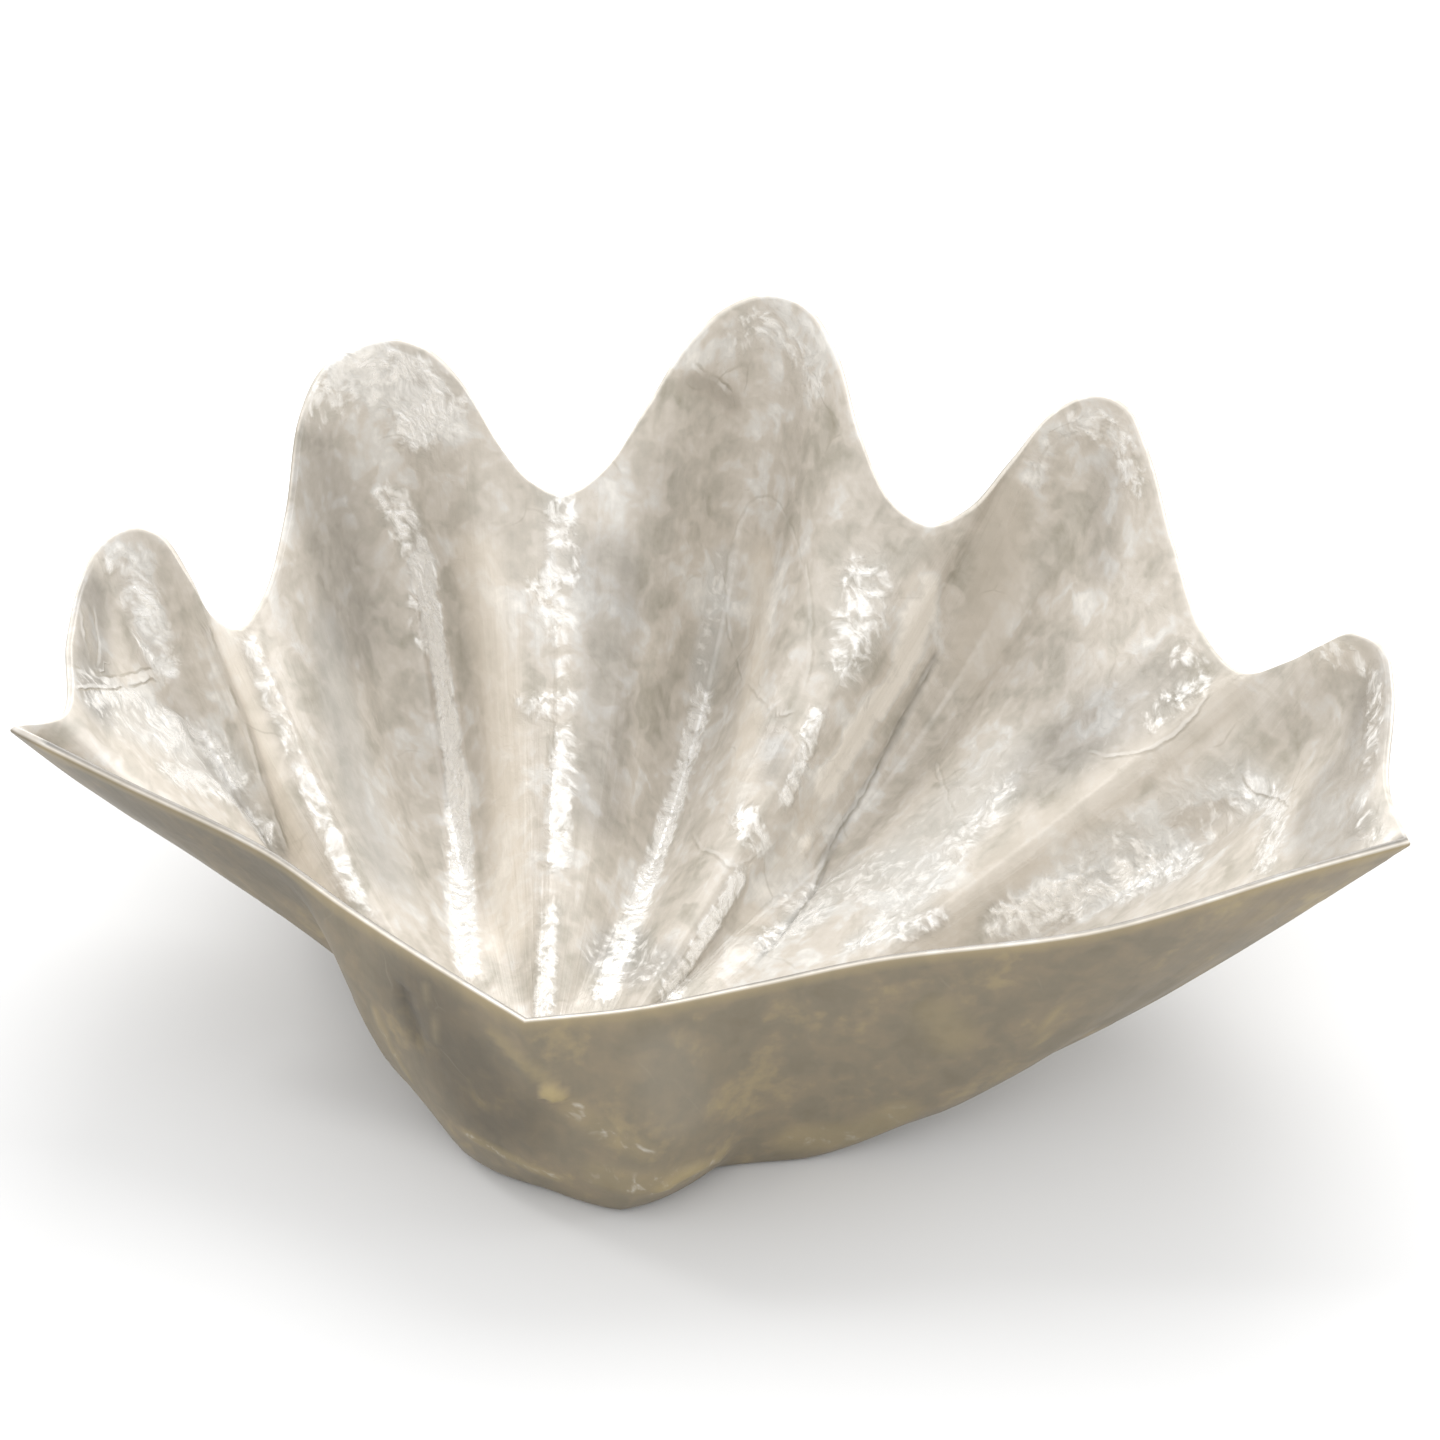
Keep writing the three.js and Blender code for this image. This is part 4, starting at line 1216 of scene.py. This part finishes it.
@dataclass
class ShellDish:
    """The dish: one thin shell with an inner face, an outer face and a soft rim."""

    form: ShellForm = field(default_factory=ShellForm)
    relief: NacreRelief = field(default_factory=NacreRelief)
    finish: MotherOfPearl = field(default_factory=MotherOfPearl)
    name: str = "mother_of_pearl_shell"
    density: int = 4
    rings: int = 96
    rim_radius: float = 1.5
    rim_steps: int = 4
    rim_probe: float = 0.005

    # Distances over which the outer tint, the relief and the marks fade in
    rim_band: float = 1.2
    calm_share: float = 0.03
    calm_height: float = 8.0
    mark_fade: float = 6.0

    # Size of the roll that the folds are laid out on, for the streaks
    fold_circle: float = 300.0
    fold_length: float = 320.0

    def face(self, side: Side) -> tuple[np.ndarray, np.ndarray]:
        """Make one face of the wall and its half of the soft rim.

        Args:
            side: the face to make.

        Returns:
            Points for each column and ring, and each ring's share of the way to the rim.
        """
        form = self.form
        rim = form.rim(self.density)
        ribs = form.ribs(self.density)
        steps = np.arange(1, self.rings + 1) / self.rings
        near = form.middle(rim, ribs, np.tile([1 - self.rim_probe, 1.0], (len(rim), 1)))
        pace = np.linalg.norm(near[:, 1] - near[:, 0], axis=-1) / self.rim_probe
        last = 1 - self.rim_radius / pace
        shares = steps[None, :] * last[:, None]
        middle = form.middle(rim, ribs, shares)
        across = form.directions(middle, shares, self.density)
        points = middle + side.value * form.wall / 2 * across
        along = unit(near[:, 1] - near[:, 0])
        bends = []
        for step in range(1, self.rim_steps + 1):
            angle = math.pi / 2 * step / self.rim_steps
            below = self.rim_radius * (1 - math.sin(angle))
            out = side.value * (form.wall / 2 - self.rim_radius * (1 - math.cos(angle)))
            bends.append(rim - along * below + across[:, -1] * out)
        points = np.concatenate([points, np.stack(bends, 1)], 1)
        points[..., 2] = np.maximum(points[..., 2], 0)
        points -= np.array([*form.centre, 0.0])
        shares = np.concatenate([shares, np.ones((len(rim), self.rim_steps))], 1)
        return points, shares

    def build(self) -> bpy.types.Object:
        """Build the dish with its relief and finish.

        Returns:
            The finished object.
        """
        form = self.form
        inner, shares = self.face(Side.INNER)
        outer, _ = self.face(Side.OUTER)
        poles = np.array([[form.pole[0] - form.centre[0], form.pole[1] - form.centre[1],
                           form.base + side.value * form.wall / 2] for side in Side])
        points = np.concatenate([inner.reshape(-1, 3), outer.reshape(-1, 3), poles])
        mesh = bpy.data.meshes.new(self.name)
        mesh.from_pydata(points * MM, [], self.faces(*shares.shape))
        self.store(mesh, self.layers(Side.INNER, inner, shares), self.layers(Side.OUTER, outer, shares))
        mesh.validate()
        piece = bpy.data.objects.new(self.name, mesh)
        bpy.context.scene.collection.objects.link(piece)
        self.relief.apply(piece, self.finish.material())
        return piece

    def faces(self, count: int, rings: int) -> list[tuple[int, ...]]:
        """List the faces of the closed shell.

        Args:
            count: columns of each face of the wall.
            rings: rings of each face of the wall.

        Returns:
            Each face's vertex numbers, turned outwards.
        """
        faces: list[tuple[int, ...]] = []
        outer = count * rings
        pole = 2 * count * rings
        last = rings - 1
        for i in range(count):
            here, after = i * rings, (i + 1) % count * rings
            faces.append((pole, here, after))
            faces.append((pole + 1, outer + after, outer + here))
            for j in range(last):
                corners = (here + j, here + j + 1, after + j + 1, after + j)
                faces.append(corners)
                faces.append(tuple(outer + corners[k] for k in (0, 3, 2, 1)))
            faces.append((here + last, outer + here + last, outer + after + last, after + last))
        return faces

    def layers(self, side: Side, points: np.ndarray, shares: np.ndarray) -> dict[str, np.ndarray]:
        """Work out what the relief and the finish read on one face.

        Args:
            side: the face.
            points: the points of the face.
            shares: the rings' shares of the way to the rim.

        Returns:
            For each attribute one value, or one vector, for each point.
        """
        outer = side is Side.OUTER
        flat = points.reshape(-1, 3)
        angle = np.arange(len(shares))[:, None] / len(shares) * 2 * math.pi + np.zeros_like(shares)
        folds = np.stack([self.fold_circle * np.cos(angle), self.fold_circle * np.sin(angle),
                          self.fold_length * shares], -1).reshape(-1, 3)
        below = np.linalg.norm(points - points[:, -1:], axis=-1)
        calm = smooth((1 - shares) / self.calm_share)
        if outer:
            calm = calm * smooth(points[..., 2] / self.calm_height)
        # The shade of the marks is mostly painted light and painted shade.
        crinkle, raised, tone, shade = np.zeros((4, len(flat)))
        for mark in OUTER_MARKS if outer else INNER_MARKS:
            close = mark.closeness(flat, trace(mark.line, points, self.rings, self.density))
            crinkle = np.maximum(crinkle, mark.crinkle * close)
            raised = raised + mark.height * close
            tone = tone + mark.tone * close
            shade = shade + mark.shade * close
        around = np.roll(points, -1, 0) - np.roll(points, 1, 0)
        normals = unit(np.cross(np.gradient(points, axis=1), around)).reshape(-1, 3)
        edge, lap = np.full(len(flat), FlakeEdge.reach), np.zeros(len(flat))
        for flake in () if outer else FLAKE_EDGES:
            route = trace(flake.line, points, self.rings, self.density)
            beside, close = flake.closeness(flat, normals, route)
            closer = np.abs(beside) < np.abs(edge)
            edge, lap = np.where(closer, beside, edge), np.where(closer, close, lap)
        return {
            "folds": folds * MM,
            "outside": float(outer) * smooth(below / self.rim_band).ravel(),
            "relief": calm.ravel(),
            "crinkle": crinkle,
            "raised": raised * smooth(below.ravel() / self.mark_fade) * MM,
            "tone": np.clip(tone, -1, 1),
            "shade": shade,
            "edge": edge * MM,
            "lap": lap,
        }

    def store(self, mesh: bpy.types.Mesh, inner: dict[str, np.ndarray],
              outer: dict[str, np.ndarray]) -> None:
        """Store the attributes of both faces and of their poles on the mesh.

        Args:
            mesh: the mesh that gets them.
            inner: the inner face's values by attribute.
            outer: the outer face's values by attribute.
        """
        poles = {"outside": [0.0, 1.0], "relief": [1.0, 0.0]}
        for name in inner:
            at_poles = poles.get(name, np.zeros((2, *inner[name].shape[1:])))
            values = np.concatenate([inner[name], outer[name], at_poles])
            kind, slot = ("FLOAT_VECTOR", "vector") if values.ndim > 1 else ("FLOAT", "value")
            layer = mesh.attributes.new(name, kind, "POINT")
            layer.data.foreach_set(slot, values.astype(np.float32).ravel())


@dataclass(frozen=True)
class SoftLight:
    """One soft box of the studio, with its places and sizes in metres and its power in watts."""

    name: str
    place: tuple[float, float, float]
    aim: tuple[float, float, float]
    width: float
    depth: float
    power: float
    colour: str = "#FFFFFF"

    def add(self) -> None:
        """Add the light to the scene."""
        light = bpy.data.lights.new(self.name, "AREA")
        light.shape = "RECTANGLE"
        light.size, light.size_y = self.width, self.depth
        light.energy = self.power
        light.color = linear(self.colour)[:3]
        lamp = bpy.data.objects.new(self.name, light)
        lamp.location = self.place
        lamp.rotation_euler = (Vector(self.aim) - Vector(self.place)).to_track_quat("-Z", "Y").to_euler()
        bpy.context.scene.collection.objects.link(lamp)


@dataclass(frozen=True)
class WhitePaper:
    """The matt white paper that the dish stands on: one even pale tint with no shine."""

    name: str = "white_paper"
    tint: str = "#D2D2D2"
    roughness: float = 0.9

    def material(self) -> bpy.types.Material:
        """Build the finish.

        Returns:
            The material for the floor.
        """
        material = bpy.data.materials.new(self.name)
        material.use_nodes = True
        paper = material.node_tree.nodes["Principled BSDF"]
        paper.inputs["Base Color"].default_value = linear(self.tint)
        paper.inputs["Roughness"].default_value = self.roughness
        return material


@dataclass(frozen=True)
class Studio:
    """The pale floor, the soft light and the camera, with places and sizes in metres."""

    # View of the photograph: the beak's foot is at this pixel of the 1440 pixel frame
    azimuth: float = 12.0
    elevation: float = 35.0
    field_of_view: float = 24.0
    distance: float = 1.4
    frame_size: float = 1440.0
    foot: tuple[float, float, float] = (-0.0014, -0.1785, 0.0)
    foot_pixel: tuple[float, float] = (640.0, 1203.0)
    floor_size: float = 16.0
    paper: WhitePaper = field(default_factory=WhitePaper)
    sky: str = "#FFFFFF"
    sky_strength: float = 1.16
    lights: tuple[SoftLight, ...] = (
        SoftLight("key_light", (-1.5, 0.2, 1.7), (0.0, 0.0, 0.1), 0.25, 0.4, 7.0),
        SoftLight("back_light", (0.0, 1.6, 1.9), (0.0, 0.0, 0.0), 1.6, 1.6, 37.0),
        SoftLight("front_light", (0.0, -2.2, 2.0), (0.0, 0.0, 0.1), 1.4, 1.4, 9.5),
        SoftLight("back_left_light", (-1.9, 1.0, 0.8), (0.0, 0.0, 0.05), 2.0, 1.2, 15.0),
        SoftLight("back_right_light", (1.9, 1.0, 0.8), (0.0, 0.0, 0.05), 2.0, 1.2, 28.0),
    )

    def camera(self) -> None:
        """Create the camera of the photograph and make it the scene's camera."""
        turn, tilt = math.radians(self.azimuth), math.radians(self.elevation)
        back = Vector((math.sin(turn) * math.cos(tilt), -math.cos(turn) * math.cos(tilt), math.sin(tilt)))
        right = Vector((math.cos(turn), math.sin(turn), 0.0))
        up = back.cross(right)
        half = self.frame_size / 2
        scale = self.distance * math.tan(math.radians(self.field_of_view) / 2) / half
        centre = (Vector(self.foot) - right * (self.foot_pixel[0] - half) * scale
                  + up * (self.foot_pixel[1] - half) * scale)
        lens = bpy.data.cameras.new("photo_camera")
        lens.sensor_fit = "HORIZONTAL"
        lens.angle = math.radians(self.field_of_view)
        camera = bpy.data.objects.new("photo_camera", lens)
        camera.matrix_world = Matrix.Translation(centre + back * self.distance) @ Matrix(
            (right, up, back)).transposed().to_4x4()
        bpy.context.scene.collection.objects.link(camera)
        bpy.context.scene.camera = camera

    def floor(self) -> bpy.types.Object:
        """Lay the pale floor.

        Returns:
            The floor object.
        """
        half = self.floor_size / 2
        mesh = bpy.data.meshes.new("floor")
        mesh.from_pydata([(-half, -half, 0), (half, -half, 0), (half, half, 0), (-half, half, 0)],
                         [], [(0, 1, 2, 3)])
        mesh.materials.append(self.paper.material())
        floor = bpy.data.objects.new("floor", mesh)
        bpy.context.scene.collection.objects.link(floor)
        return floor

    def light(self) -> None:
        """Light the studio."""
        for lamp in self.lights:
            lamp.add()
        world = bpy.data.worlds.new("studio")
        world.use_nodes = True
        background = world.node_tree.nodes["Background"]
        background.inputs["Color"].default_value = linear(self.sky)
        background.inputs["Strength"].default_value = self.sky_strength
        bpy.context.scene.world = world
        bpy.context.scene.view_settings.view_transform = "Standard"


def main() -> None:
    """Build the studio and the dish, and report them."""
    logging.basicConfig(level=logging.INFO, format="%(name)s: %(message)s")
    studio = Studio()
    studio.camera()
    studio.light()
    studio.floor()
    dish = ShellDish().build()
    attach(dish, "root")
    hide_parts("shell")
    mesh = dish.data
    mesh.calc_loop_triangles()
    LOG.info("%s: %d points, %d triangles", dish.name, len(mesh.vertices), len(mesh.loop_triangles))


if __name__ == "__main__":
    main()
